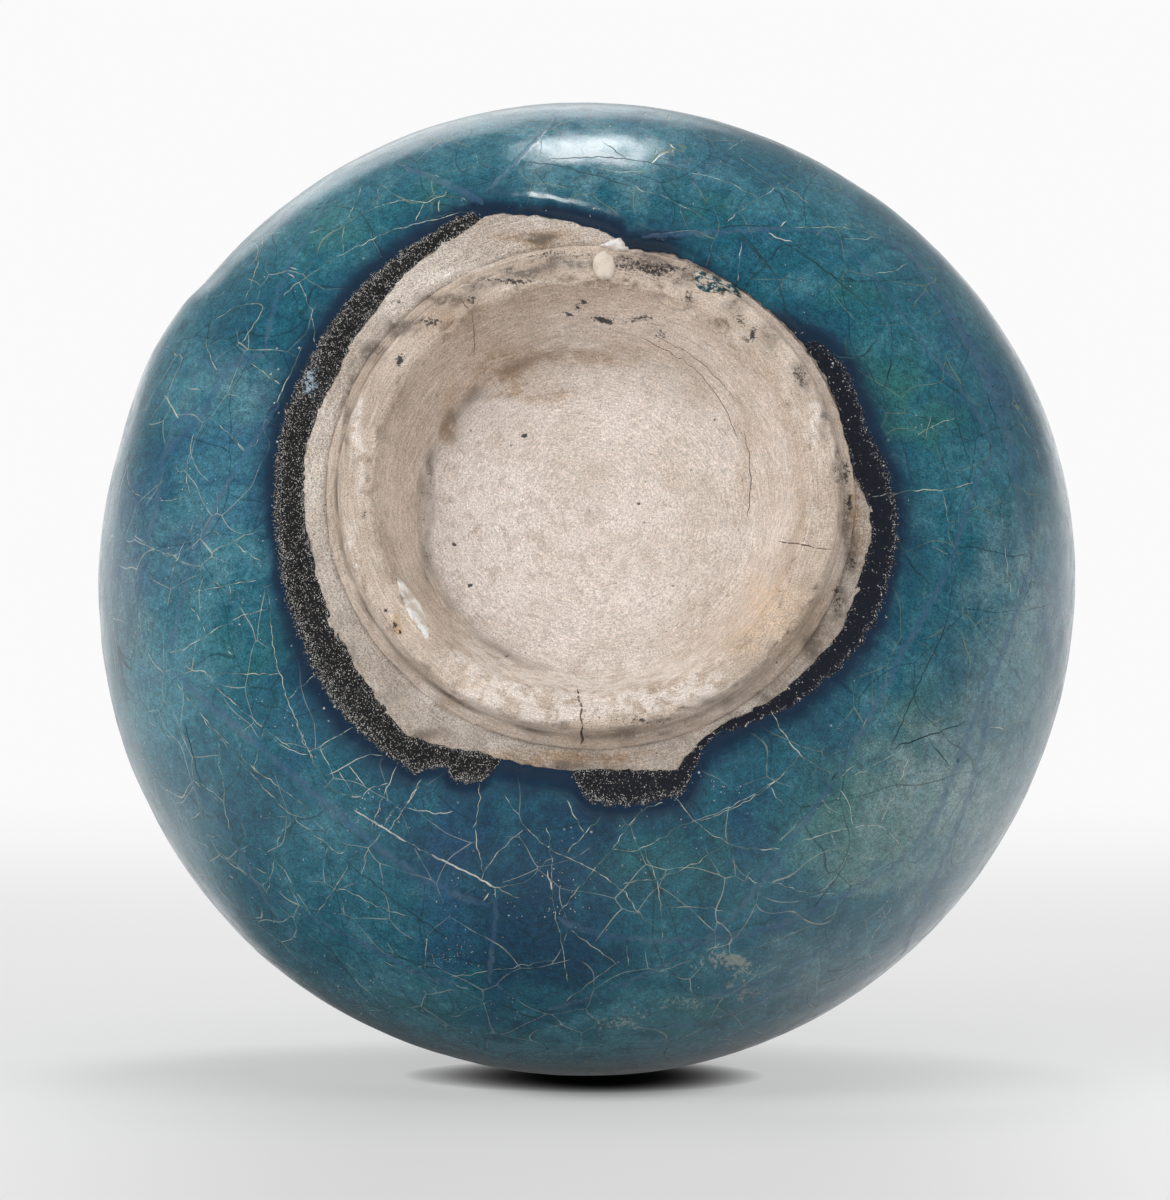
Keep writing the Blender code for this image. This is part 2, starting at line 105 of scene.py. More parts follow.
def pixels_of(points):
    """Where points of the model fall in the photograph, as an array of (across, down)."""
    offset = points - np.array(eye)
    scale = focal_pixels / (offset @ np.array(forward))
    across = PHOTO_WIDTH / 2 + offset @ np.array(sight_right) * scale
    down = PHOTO_HEIGHT / 2 - offset @ np.array(sight_up) * scale
    return np.stack([across, down], axis=-1)


# Foot ring. A turned ring of bare stone-paste, luted under the base: a sloping outer side, a worn flat
# resting face with chipped edges, and a wide smooth bevel down to the recessed floor.
MM = 0.001
FOOT_COLUMNS = 720
ROOT_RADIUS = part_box("foot_ring")[1].x
ROOT_HEIGHT = 4.8 * MM
NECKING_RADIUS = 49.5 * MM
NECKING_DROP = 0.5 * MM
NECKING_ROUND = 0.8 * MM
RIM_RADIUS = 48.5 * MM
RIM_WIDTH = 6.0 * MM
RIM_ROUND = 1.3 * MM
INNER_ROUND = 1.6 * RIM_ROUND
RECESS_RADIUS = 33.8 * MM
RECESS_DEPTH = 17.5 * MM
LAP_ON_FLOOR = (0.4 * MM, 0.6 * MM)
LAP_ON_WALL = (0.8 * MM, 1.4 * MM)
FOOT_STEP = 0.35 * MM
BACK_STEP = 2 * MM
FOOT_WEAR = [(0.12, 9, 1), (0.05, 2.2, 2), (0.04, 0.9, 5)]
FOOT_MARK_PITCH = 1.1 * MM
FOOT_MARK_DEPTH = 0.025 * MM
CHIP_DEPTH = 0.9 * MM


def evenly(points, step):
    """A line of points read again at about even steps."""
    points = np.array(points, float)
    run = np.concatenate([[0], np.cumsum(np.linalg.norm(np.diff(points, axis=0), axis=1))])
    count = max(int(round(run[-1] / step)), 2)
    marks = np.linspace(0, run[-1], count + 1)
    return np.stack([np.interp(marks, run, points[:, k]) for k in range(points.shape[1])], axis=-1)


def rounded(before, corner, after, radius, count=8):
    """Points of a round between two straight sides that meet in a corner."""
    before, corner, after = (Vector(p) for p in (before, corner, after))
    to_before = (before - corner).normalized()
    to_after = (after - corner).normalized()
    reach = radius / math.tan(to_before.angle(to_after) / 2)
    points = []
    for i in range(count + 1):
        t = i / count
        first = corner + to_before * reach * (1 - t)
        second = corner + to_after * reach * t
        points.append(tuple(first.lerp(second, t)))
    return points


def outwards(line):
    """Unit normals of a line of (radius, height) points, on its left as it runs down the outside."""
    step = np.gradient(line, axis=0)
    normal = np.stack([-step[:, 1], step[:, 0]], axis=-1)
    return normal / np.linalg.norm(normal, axis=1, keepdims=True)


def ripple(points, size, seed, waves=24):
    """Soft unevenness, mostly from -1 to 1, with lumps of about one size. It is the same each run."""
    draw = np.random.default_rng(seed)
    ways = draw.normal(size=(waves, points.shape[-1]))
    ways *= (draw.uniform(0.6, 1.4, waves) / np.linalg.norm(ways, axis=1))[:, None] * math.pi / size
    starts = draw.uniform(0, 2 * math.pi, waves)
    total = np.zeros(points.shape[:-1])
    for way, start in zip(ways, starts):
        total += np.sin(points @ way + start)
    return total / math.sqrt(waves)


def unevenness(points, layers):
    """Layers of ripple added up: each is a height and a size of lumps in millimetres, and a seed."""
    total = 0
    for height, size, seed in layers:
        total = total + height * MM * ripple(points, size * MM, seed)
    return total


def smooth(value, low, high):
    """0 below low, 1 above high, and a soft rise between them."""
    t = np.clip((value - low) / (high - low), 0, 1)
    return t * t * (3 - 2 * t)


def around(line, azimuths):
    """Points of a line of (radius, height), turned to each azimuth: rows along it, columns round the axis."""
    radius, height = line[..., 0], line[..., 1]
    if line.ndim == 2:
        radius, height = radius[:, None], height[:, None]
    columns = np.cos(azimuths), np.sin(azimuths)
    return np.stack([radius * columns[0], radius * columns[1], height + 0 * columns[0]], axis=-1)


def new_piece(name, points, faces):
    """A new mesh object in the scene."""
    mesh = bpy.data.meshes.new(name)
    mesh.from_pydata([tuple(point) for point in points], [], faces)
    piece = bpy.data.objects.new(name, mesh)
    scene.collection.objects.link(piece)
    return piece


def skin(name, rings, poles=()):
    """A closed mesh from rings round the axis. Its ends close on two poles, or else on each other."""
    count, columns = rings.shape[:2]
    index = np.arange(count * columns).reshape(count, columns)
    right = np.roll(index, -1, axis=1)
    faces = np.stack([index[:-1], index[1:], right[1:], right[:-1]], axis=-1).reshape(-1, 4).tolist()
    if poles:
        top = count * columns
        faces += [(top, int(a), int(b)) for a, b in zip(index[0], right[0])]
        faces += [(top + 1, int(b), int(a)) for a, b in zip(index[-1], right[-1])]
    else:
        faces += np.stack([index[-1], index[0], right[0], right[-1]], axis=-1).tolist()
    piece = new_piece(name, rings.reshape(-1, 3).tolist() + list(poles), faces)
    piece.data.shade_smooth()
    return piece


def note(piece, name, values):
    """Stores a number at each point of a piece's mesh, for its material to read."""
    layer = piece.data.attributes.new(name, "FLOAT", "POINT")
    spare = len(piece.data.vertices) - values.size
    layer.data.foreach_set("value", np.append(values.ravel(), np.zeros(spare)).astype(np.float32))


azimuths = np.linspace(-math.pi, math.pi, FOOT_COLUMNS, endpoint=False)
root = (ROOT_RADIUS, ROOT_HEIGHT)
necking = (NECKING_RADIUS, ROOT_HEIGHT - NECKING_DROP)
rim_outer = (RIM_RADIUS, 0)
rim_inner = (RIM_RADIUS - RIM_WIDTH, 0)
recess_edge = (RECESS_RADIUS - LAP_ON_FLOOR[0], RECESS_DEPTH + LAP_ON_FLOOR[1])
foot_line = [(ROOT_RADIUS + LAP_ON_WALL[0], ROOT_HEIGHT + LAP_ON_WALL[1]), root]
foot_line += rounded(root, necking, rim_outer, NECKING_ROUND)
foot_line += rounded(necking, rim_outer, rim_inner, RIM_ROUND)
foot_line += rounded(rim_outer, rim_inner, recess_edge, INNER_ROUND)
foot_line = evenly(foot_line + [recess_edge], FOOT_STEP)
foot_out = outwards(foot_line)
foot_back = [(RECESS_RADIUS + 1 * MM, RECESS_DEPTH + 2 * MM), (ROOT_RADIUS - 1 * MM, ROOT_HEIGHT + 3 * MM)]
foot_back = evenly(foot_back, BACK_STEP)
bare = around(foot_line, azimuths)
wear = unevenness(bare, FOOT_WEAR)
turned = np.sin(foot_line[:, 1] * 2 * math.pi / FOOT_MARK_PITCH)
turned = turned[:, None] * (0.5 + 0.5 * ripple(bare, 8 * MM, 6))
wear += FOOT_MARK_DEPTH * turned * (foot_line[:, 1] > 2 * MM)[:, None]
chips = ripple(bare, 2.6 * MM, 3) + 0.6 * ripple(bare, 11 * MM, 4) + 0.5 * ripple(bare, 1.1 * MM, 8)
chips = smooth(chips + 0.4 * ripple(bare, 0.7 * MM, 9), 0.3, 1.7)
corner = np.exp(-(((foot_line[:, 0] - RIM_RADIUS) / (1.2 * MM)) ** 2))
corner += 0.8 * np.exp(-(((foot_line[:, 0] - RIM_RADIUS + RIM_WIDTH) / (1.6 * MM)) ** 2))
corner *= foot_line[:, 1] < 2.4 * MM
rough_side = 1.2 + 0.6 * smooth(np.cos(azimuths), 0.1, 0.8) + 0.5 * smooth(np.sin(azimuths), 0.0, -0.8)
wear -= CHIP_DEPTH * chips * corner[:, None] * rough_side
foot_rows = foot_line[:, None, :] + foot_out[:, None, :] * wear[..., None]
foot_rows[..., 1] = np.maximum(foot_rows[..., 1], 0)
foot_points = around(foot_rows, azimuths)
foot = skin("turned_foot", np.concatenate([foot_points, around(foot_back, azimuths)]))
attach(foot, "root")
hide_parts("foot_ring")


def blots(points, spots, warp=2.5):
    """How strongly spots of the photograph cover points: (across, down, half width, half height, share)."""
    across, down = np.moveaxis(pixels_of(points), -1, 0)
    across = across + warp * ripple(points, 4 * MM, 41)
    down = down + warp * ripple(points, 4 * MM, 42)
    total = np.zeros(points.shape[:-1])
    for x, y, wide, high, share in spots:
        total += share * np.exp(-(((across - x) / wide) ** 2) - ((down - y) / high) ** 2)
    return total


# Brown stains, and painted shade: the spots under the ring, under the flange and on its right side darken
# where shade falls.
STAINS_AND_SHADE = [
    (590, 356, 70, 14, 0.55), (500, 372, 40, 26, 0.7), (450, 420, 14, 40, 0.6), (448, 433, 9, 9, 0.9),
    (540, 395, 60, 10, 0.6), (640, 335, 60, 26, 0.3), (700, 400, 24, 30, 0.35), (745, 470, 10, 60, 0.45),
    (640, 640, 60, 24, 0.2), (480, 640, 40, 24, 0.25), (400, 624, 7, 14, 1.0), (440, 600, 10, 40, 0.35),
    (670, 480, 16, 14, 0.35), (600, 300, 110, 20, 0.3), (450, 320, 40, 30, 0.5), (530, 240, 40, 10, 0.7),
    (560, 236, 60, 14, 0.4), (857, 520, 14, 50, 0.85), (560, 758, 90, 9, 1.1), (700, 735, 40, 20, 0.5),
    (760, 692, 40, 26, 0.2), (820, 630, 20, 40, 0.4), (420, 742, 40, 16, 0.4), (660, 690, 12, 30, 0.25),
    (400, 480, 14, 60, 0.35),
]
OCHRE = [
    (772, 606, 30, 34, 0.9), (740, 640, 30, 18, 0.5), (410, 615, 16, 22, 0.5), (455, 690, 40, 14, 0.4),
    (600, 736, 40, 10, 0.4),
]
SOOT = [
    (603, 321, 8, 4, 1.3), (567, 316, 5, 3, 1.0), (577, 306, 3, 4, 0.9), (583, 299, 3, 3, 0.9),
    (642, 320, 18, 3, 0.55), (660, 332, 10, 5, 0.45), (688, 295, 6, 5, 0.5), (754, 333, 4, 7, 0.9),
    (740, 320, 7, 6, 0.5), (400, 357, 4, 6, 1.0), (385, 612, 2, 2, 1.1), (397, 624, 2, 2, 1.1),
    (402, 632, 2, 2, 1.1), (521, 433, 2.2, 1.8, 2.2), (455, 545, 1.6, 1.6, 1.6), (363, 508, 3, 7, 0.5),
    (655, 268, 44, 7, 0.62), (515, 283, 24, 4, 0.62), (432, 322, 10, 6, 0.6), (470, 300, 8, 4, 0.5),
    (640, 722, 30, 6, 0.4), (722, 282, 16, 5, 0.5), (560, 255, 40, 4, 0.4), (843, 470, 5, 12, 0.6),
    (852, 505, 4, 10, 0.8), (836, 600, 6, 20, 0.4), (850, 560, 5, 16, 0.5), (470, 585, 2, 2, 1.0),
    (640, 500, 1.6, 1.6, 1.2), (505, 655, 1.6, 1.6, 1.0), (395, 300, 14, 3, 0.4), (800, 380, 6, 14, 0.45),
]
# Grime along the ring's outer edge, and painted shade: the spots in the left crease of the recess and under
# the ring.
GRIME_AND_SHADE = [
    (600, 262, 60, 8, 0.25), (540, 270, 40, 8, 0.25), (680, 274, 30, 9, 0.3), (480, 292, 22, 9, 0.25),
    (345, 425, 5, 32, 0.6), (353, 385, 7, 20, 0.8), (372, 352, 14, 12, 0.9), (402, 326, 20, 9, 0.9),
    (442, 300, 22, 8, 0.9), (482, 284, 20, 7, 0.8), (522, 272, 26, 6, 0.8), (562, 262, 20, 6, 0.7),
    (645, 262, 40, 7, 0.9), (692, 280, 24, 8, 0.8), (736, 306, 14, 10, 0.7), (770, 336, 10, 14, 0.6),
    (802, 378, 8, 20, 0.7), (823, 420, 6, 24, 0.6), (838, 470, 7, 26, 0.9), (848, 515, 7, 24, 1.0),
    (850, 560, 7, 20, 0.8), (838, 602, 9, 26, 0.8), (812, 645, 14, 16, 0.7), (770, 690, 24, 12, 0.6),
    (535, 238, 22, 7, 0.9), (426, 560, 6, 40, 0.5), (430, 480, 6, 40, 0.6), (452, 424, 10, 20, 0.5),
    (352, 660, 6, 40, 0.4), (420, 735, 40, 8, 0.5), (560, 768, 90, 6, 0.6), (400, 700, 20, 14, 0.35),
    (640, 735, 60, 6, 0.5), (715, 700, 30, 8, 0.4),
]
# Pale wear, and painted light: the broad patches on the recess floor's left and middle and on the lower
# bevel.
WORN_AND_LIT = [
    (478, 520, 50, 100, 1.0), (585, 680, 130, 24, 0.4), (690, 590, 40, 40, 0.3), (585, 688, 120, 20, 0.5),
    (480, 655, 50, 20, 0.4), (690, 655, 50, 20, 0.4), (585, 330, 90, 14, 0.3), (740, 345, 30, 20, 0.4),
    (358, 440, 7, 70, 0.9), (352, 560, 12, 40, 0.6), (470, 700, 60, 12, 0.5), (560, 715, 50, 10, 0.7),
    (640, 705, 50, 12, 0.4), (815, 420, 10, 30, 0.9), (790, 380, 14, 14, 0.5), (575, 346, 26, 5, 1.2),
    (590, 560, 90, 70, 0.5), (620, 420, 60, 40, 0.3), (418, 700, 20, 10, 0.4), (700, 690, 30, 12, 0.5),
    (820, 520, 8, 30, 0.4), (400, 310, 24, 5, 0.6), (318, 470, 10, 60, 0.35), (480, 540, 40, 70, 0.5),
    (660, 350, 50, 24, 0.3), (440, 272, 30, 6, 0.6), (620, 262, 30, 5, 0.5), (490, 268, 30, 6, 0.5),
]
FLOOR_PALE = (0.755, 0.665, 0.605)
FLOOR_DEEP = (0.66, 0.565, 0.495)
PATCH_DEEP = (0.42, 0.325, 0.245)
PATCH_PALE = (0.82, 0.745, 0.69)
SCRAPE_DEEP = (0.38, 0.30, 0.23)
SCRAPE_PALE = (0.86, 0.80, 0.745)
STAIN_AND_SHADE_BROWN = (0.37, 0.24, 0.135)
OCHRE_YELLOW = (0.68, 0.46, 0.27)
WORN_AND_LIT_PALE = (0.80, 0.72, 0.66)
QUARTZ_PALE = (0.78, 0.74, 0.69)
GRIME_AND_SHADE_BROWN = (0.165, 0.135, 0.11)
DIRT_AND_SHADE_BROWN = (0.125, 0.095, 0.07)
SOOT_BLACK = (0.020, 0.019, 0.024)
PIT_BROWN = (0.10, 0.07, 0.055)
FOOT_PALE = (0.60, 0.495, 0.415)
FOOT_DEEP = (0.45, 0.36, 0.285)
FOOT_SANDINESS = 0.13


class Nodes:
    """A tree of shader nodes. Each call adds a node and gives back the socket that the next one takes."""

    def __init__(self, tree):
        self.tree = tree

    def put(self, socket, value):
        """Links a socket to another, or sets its value. None leaves it alone."""
        if isinstance(value, bpy.types.NodeSocket):
            self.tree.links.new(value, socket)
        elif value is not None:
            is_colour = socket.type == "RGBA" and len(value) == 3
            socket.default_value = (*value, 1) if is_colour else value

    def add(self, kind, *values, out=0, **settings):
        """A node of any kind, with values for its inputs in order."""
        made = self.tree.nodes.new("ShaderNode" + kind)
        for name, value in settings.items():
            setattr(made, name, value)
        for socket, value in zip(made.inputs, values):
            self.put(socket, value)
        return made.outputs[out]

    def maths(self, operation, *values):
        return self.add("Math", *values, operation=operation)

    def plus(self, *values):
        total = values[0]
        for value in values[1:]:
            total = self.maths("ADD", total, value)
        return total

    def times(self, *values):
        total = values[0]
        for value in values[1:]:
            total = self.maths("MULTIPLY", total, value)
        return total

    def weigh(self, *pairs):
        """The sum of values, each times its weight."""
        return self.plus(*[self.times(value, weight) for value, weight in pairs])

    def spread(self, value, low, high, first=0.0, last=1.0):
        """A soft change from first to last as the value goes from low to high."""
        return self.add("MapRange", value, low, high, first, last, interpolation_type="SMOOTHSTEP")

    def mix(self, share, first, second, way="MIX"):
        made = self.tree.nodes.new("ShaderNodeMix")
        made.data_type = "RGBA"
        made.blend_type = way
        for number, value in ((0, share), (6, first), (7, second)):
            self.put(made.inputs[number], value)
        return made.outputs[2]

    def tint(self, colour, over, value, low, high, share):
        """A colour with another laid over it, up to a share as the value goes from low to high."""
        return self.mix(self.spread(value, low, high, 0.0, share), colour, over)

    def place(self):
        """Where a point is in the part's own frame, in metres."""
        return self.add("TexCoord", out=3)

    def move(self, operation, *values, out=0):
        return self.add("VectorMath", *values, operation=operation, out=out)

    def noise(self, place, size, detail=3.0, roughness=0.55, distortion=0.0):
        """Cloudy values round 0.5, with clouds of about one size in metres."""
        return self.add("TexNoise", place, None, 1 / size, detail, roughness, None, None, None, distortion)

    def cells(self, place, size, feature="F1", out=0):
        return self.add("TexVoronoi", place, None, 1 / size, feature=feature, out=out)

    def noted(self, name):
        """A number that note() stored on the mesh."""
        return self.add("Attribute", attribute_name=name, out=2)

    def bump(self, height, distance, strength=1.0, normal=None):
        made = self.tree.nodes.new("ShaderNodeBump")
        settings = {"Strength": strength, "Distance": distance, "Height": height, "Normal": normal}
        for name, value in settings.items():
            self.put(made.inputs[name], value)
        return made.outputs[0]


class Finish(Nodes):
    """A new material, with its nodes round one shader."""

    def __init__(self, name):
        self.material = bpy.data.materials.new(name)
        self.material.use_nodes = True
        super().__init__(self.material.node_tree)
        self.shader = self.tree.nodes["Principled BSDF"]

    def dress(self, *pieces, **sockets):
        """Fills the shader's sockets and gives the material to the pieces."""
        for name, value in sockets.items():
            self.put(self.shader.inputs[name.replace("_", " ")], value)
        for piece in pieces:
            piece.data.materials.clear()
            piece.data.materials.append(self.material)


def paste_finish(name, pale, deep, sandy):
    """Bare fired stone-paste: sandy grain, scrapes round the axis, cloudy colour, pits, stains, wear, painted
    shade and painted light.
    """
    finish = Finish(name)
    place = finish.place()
    # Paler floor paste where the note is high; the note is kept low on the left and at the floor's edge,
    # which paints shade there.
    inward_less_in_shade = finish.noted("inward_less_in_shade")
    pale = finish.mix(inward_less_in_shade, pale, FLOOR_PALE)
    deep = finish.mix(inward_less_in_shade, deep, FLOOR_DEEP)
    flat = finish.move("MULTIPLY", place, (1, 1, 0))
    far = finish.move("LENGTH", flat, out=1)
    turn = finish.move("SCALE", finish.move("NORMALIZE", flat), None, None, 14 * MM)
    wander = finish.plus(finish.times(far, 10.0), finish.times(finish.noise(place, 7 * MM, 2), 6 * MM))
    scraped = finish.move("ADD", turn, finish.add("CombineXYZ", 0.0, 0.0, wander))
    marks = finish.noise(scraped, 3.6 * MM, 3, 0.7)
    drawn_out = finish.add("CombineXYZ", 0.0, 0.0, finish.times(wander, 0.4))
    scores = finish.noise(finish.move("ADD", turn, drawn_out), 1.0 * MM, 2, 0.7)
    clouds = finish.noise(place, 15 * MM, 4, 0.6)
    patches = finish.noise(place, 3.4 * MM, 5, 0.7)
    grain = finish.noise(place, 0.32 * MM, 2, 0.75)
    sand = finish.cells(place, 0.45 * MM)
    colour = finish.mix(finish.spread(clouds, 0.34, 0.66), deep, pale)
    colour = finish.tint(colour, PATCH_DEEP, patches, 0.50, 0.28, 0.42)
    colour = finish.tint(colour, PATCH_PALE, patches, 0.52, 0.72, 0.35)
    colour = finish.tint(colour, SCRAPE_DEEP, marks, 0.45, 0.28, 0.40)
    colour = finish.tint(colour, SCRAPE_PALE, marks, 0.55, 0.72, 0.40)
    # Stains, with painted shade under the ring and on the flange.
    stain_and_shade = finish.times(finish.noted("stain_and_shade"), finish.spread(patches, 0.34, 0.58, 0.25, 1.0))
    colour = finish.tint(colour, STAIN_AND_SHADE_BROWN, stain_and_shade, 0.03, 0.85, 0.8)
    ochre = finish.times(finish.noted("ochre"), finish.spread(patches, 0.3, 0.6), 0.6)
    colour = finish.mix(ochre, colour, OCHRE_YELLOW)
    # Wear, with painted light on the recess floor and the lower bevel.
    worn_and_lit = finish.times(finish.noted("worn_and_lit"), finish.spread(patches, 0.40, 0.54))
    colour = finish.tint(colour, WORN_AND_LIT_PALE, worn_and_lit, 0.1, 0.8, 0.65)
    crumbs = finish.spread(grain, 0.30, 0.70, 0.74 - 0.24 * sandy, 1.24 + 0.34 * sandy)
    crumbs = finish.times(crumbs, finish.spread(scores, 0.32, 0.68, 0.87, 1.13))
    colour = finish.mix(1.0, colour, crumbs, "MULTIPLY")
    quartz = finish.cells(place, 0.36 * MM, out=1)
    colour = finish.tint(colour, QUARTZ_PALE, quartz, 0.70, 0.80, 0.06 + 0.40 * sandy)
    crumbly = finish.plus(patches, finish.times(grain, 0.9))
    # Grime, with painted shade in the recess crease and under the ring.
    grime_and_shade = finish.times(finish.noted("grime_and_shade"), finish.spread(crumbly, 0.82, 1.12))
    colour = finish.tint(colour, GRIME_AND_SHADE_BROWN, grime_and_shade, 0.05, 0.55, 0.85)
    # Dirt and painted shade: brown in grooves, creases and on the sides turned from the light.
    dusty = finish.spread(finish.plus(grain, patches), 0.75, 1.15, 0.45, 1.0)
    dirt_and_shade = finish.times(finish.noted("dirt_and_shade"), dusty)
    colour = finish.mix(finish.times(dirt_and_shade, 0.85), colour, DIRT_AND_SHADE_BROWN)
    sooty = finish.plus(finish.noted("soot"), finish.times(finish.noise(place, 0.6 * MM, 4, 0.8), 2.8), -1.62)
    colour = finish.tint(colour, SOOT_BLACK, sooty, 0.10, 0.34, 0.92)
    pits = finish.spread(finish.cells(place, 1.9 * MM), 0.15, 0.07)
    pits = finish.times(pits, finish.spread(patches, 0.52, 0.62))
    colour = finish.mix(finish.times(pits, 0.7), colour, PIT_BROWN)
    height = finish.weigh(
        (marks, 0.8), (scores, 0.35), (grain, 0.5 + sandy), (sand, -0.2 - 0.4 * sandy),
        (patches, 0.9), (pits, -0.8), (grime_and_shade, 0.4),
    )
    return finish, colour, finish.bump(height, 0.28 * MM, 1.0)


def age(piece, points, dirt_and_shade):
    """Notes where a bare piece is stained, rubbed, sooty or dirty, and where shade or light is painted on it.
    """
    marked = {"stain_and_shade": STAINS_AND_SHADE, "ochre": OCHRE, "soot": SOOT, "worn_and_lit": WORN_AND_LIT, "grime_and_shade": GRIME_AND_SHADE}
    for name, spots in marked.items():
        note(piece, name, blots(points, spots))
    note(piece, "dirt_and_shade", dirt_and_shade)


foot_turns = np.arctan2(foot_points[..., 1], foot_points[..., 0])
on_left = smooth(np.cos(foot_turns), 0.2, -0.7)
low_side = smooth(np.sin(foot_turns), 0.1, 0.8)
# Dirt and painted shade: brown in the necking groove, more on the left, low on the outer side and in the
# recess crease.
root_line = np.exp(-(((foot_line[:, 0] - NECKING_RADIUS) / (0.45 * MM)) ** 2)) * (foot_line[:, 1] > 3 * MM)
outer_side = smooth(foot_line[:, 0], RIM_RADIUS - 0.5 * MM, RIM_RADIUS + 0.8 * MM)
foot_dirt_and_shade = root_line[:, None] * (0.35 + 0.6 * on_left) + 0.38 * outer_side[:, None] * low_side
crease = smooth(foot_line[:, 1], RECESS_DEPTH - 2.0 * MM, RECESS_DEPTH) * (foot_line[:, 0] < RIM_RADIUS)
foot_dirt_and_shade = foot_dirt_and_shade + 0.30 * crease[:, None] * (0.3 + on_left)
age(foot, foot_points, foot_dirt_and_shade * (0.8 + 0.3 * ripple(foot_points, 4 * MM, 7)))
# The bevel takes the floor's paler paste, less on the left, which paints shade on that side.
bevel = smooth(foot_line[:, 1], 2 * MM, 8 * MM) * (foot_line[:, 0] < RIM_RADIUS - 0.5 * RIM_WIDTH)
note(foot, "inward_less_in_shade", bevel[:, None] * (0.65 - 0.5 * on_left))
foot_paste, foot_colour, foot_bump = paste_finish("bare_paste", FOOT_PALE, FOOT_DEEP, FOOT_SANDINESS)
foot_paste.dress(foot, Base_Color=foot_colour, Roughness=0.9, Normal=foot_bump)

# Base floor. The flat closing floor of the body, raised inside the foot. It is bare underneath and keeps the
# close turning marks of the tool, ring inside ring, and runs up into the wall of the foot in a soft hollow.
FLOOR_THICKNESS = 9.0 * MM
FLOOR_STEP = 0.38 * MM
MARK_PITCH = 0.72 * MM
HOLLOW = [(0, 6.0), (60, 4.0), (110, 5.0), (150, 2.2), (180, 2.4), (215, 3.0), (270, 4.0), (320, 5.0)]
floor_line = evenly([(0.3 * MM, RECESS_DEPTH), (RECESS_RADIUS + 3.4 * MM, RECESS_DEPTH)], FLOOR_STEP)
floor_rows = np.repeat(floor_line[:, None, :], FOOT_COLUMNS, axis=1)
floor_points = around(floor_line, azimuths)
phase = floor_line[:, :1] + 0.5 * MARK_PITCH * ripple(floor_points, 16 * MM, 11)
marks = np.sin(phase * 2 * math.pi / MARK_PITCH) * np.maximum(ripple(floor_points, 5 * MM, 12), 0)
floor_rows[..., 1] -= 0.02 * MM * marks + 0.08 * MM * ripple(floor_points, 10 * MM, 13)
floor_rows[..., 1] -= 0.03 * MM * ripple(floor_points, 1.6 * MM, 15)
wall_slope = RECESS_DEPTH / (RIM_RADIUS - RIM_WIDTH - RECESS_RADIUS)
wall_rise = (floor_line[:, :1] - RECESS_RADIUS) * wall_slope
hollow = np.interp(np.degrees(azimuths), *np.transpose(HOLLOW), period=360) * MM
floor_rows[..., 1] -= np.maximum(wall_rise, 0) + np.maximum(hollow - np.abs(wall_rise), 0) ** 2 / (4 * hollow)
floor_rows[..., 1] += 1.2 * MM * smooth(wall_rise / hollow, 0.55, 1.1)
floor_points = around(floor_rows, azimuths)
floor_back = evenly([
    (RECESS_RADIUS + 5.5 * MM, RECESS_DEPTH - 4 * MM), (ROOT_RADIUS - 2 * MM, RECESS_DEPTH - 4 * MM),
    (RECESS_RADIUS - 4 * MM, RECESS_DEPTH + FLOOR_THICKNESS), (1 * MM, RECESS_DEPTH + FLOOR_THICKNESS),
], BACK_STEP)
floor_poles = [(0, 0, RECESS_DEPTH), (0, 0, RECESS_DEPTH + FLOOR_THICKNESS)]
base = skin("base_disc", np.concatenate([floor_points, around(floor_back, azimuths)]), floor_poles)
base.data.flip_normals()
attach(base, "root")
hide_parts("base_floor")
# Dirt and painted shade: brown in the crease where the floor meets the bevel, mostly on the left.
floor_dirt_and_shade = np.exp(-(((floor_line[:, 0] - RECESS_RADIUS + 0.3 * MM) / (1.3 * MM)) ** 2))
floor_left = smooth(np.cos(azimuths), 0.2, -0.7)
floor_end = smooth(floor_line[:, :1], RECESS_RADIUS - 2.5 * MM, RECESS_RADIUS + 1 * MM)
# The floor's edge keeps less of its paler paste, most on the left, which paints shade in the crease.
note(base, "inward_less_in_shade", 1 - floor_end * (0.35 + 0.5 * floor_left))
floor_dirt_and_shade = floor_dirt_and_shade[:, None] * (0.08 + 0.6 * floor_left) * (0.6 + 0.4 * ripple(floor_points, 3 * MM, 14))
age(base, floor_points, floor_dirt_and_shade)
foot_paste.dress(base)

# Body wall. Stone-paste under the glaze, from the foot to the widest line. It shows as a sandy flange between
# the foot and the glaze's edge, and from inside.
COAT = 1.3 * MM
WALL = 7.0 * MM
NECK_WALL = 5.0 * MM
SHOULDER_END = math.radians(147)
NECK_RADIUS = 19 * MM
NECK_START = 186 * MM
MOUTH_RADIUS = 29 * MM
MOUTH_HEIGHT = 258 * MM
FLARE_ANGLE = math.radians(33.5)
FACE_STEP = 0.5 * MM
FLANGE = 17 * MM
SHOULDER_REACH = 0.42
NECK_REACH = 0.55
FLARE_REACH = 0.3
WALL_STEP = 0.35 * MM
WALL_ROWS = 30
WALL_SAND = [(0.10, 5, 21), (0.07, 1.6, 22), (0.04, 0.8, 23)]
WALL_PALE = (0.60, 0.525, 0.46)
WALL_DEEP = (0.44, 0.37, 0.31)
WALL_SANDINESS = 0.75
BODY_COLUMNS = 420
body_azimuths = np.linspace(-math.pi, math.pi, BODY_COLUMNS, endpoint=False)
root_share = math.sqrt(1 - (ROOT_RADIUS / body_radius) ** 2)
flattening = (body_radius * root_share - belly_height + ROOT_HEIGHT - COAT) / root_share**3


def bezier(corners, count=60):
    """Points of a smooth bend from the first of four corners to the last."""
    t = np.linspace(0, 1, count + 1)[:, None]
    start, first, second, end = (np.array(corner) for corner in corners)
    return start * (1 - t) ** 3 + 3 * first * t * (1 - t) ** 2 + 3 * second * t * t * (1 - t) + end * t**3


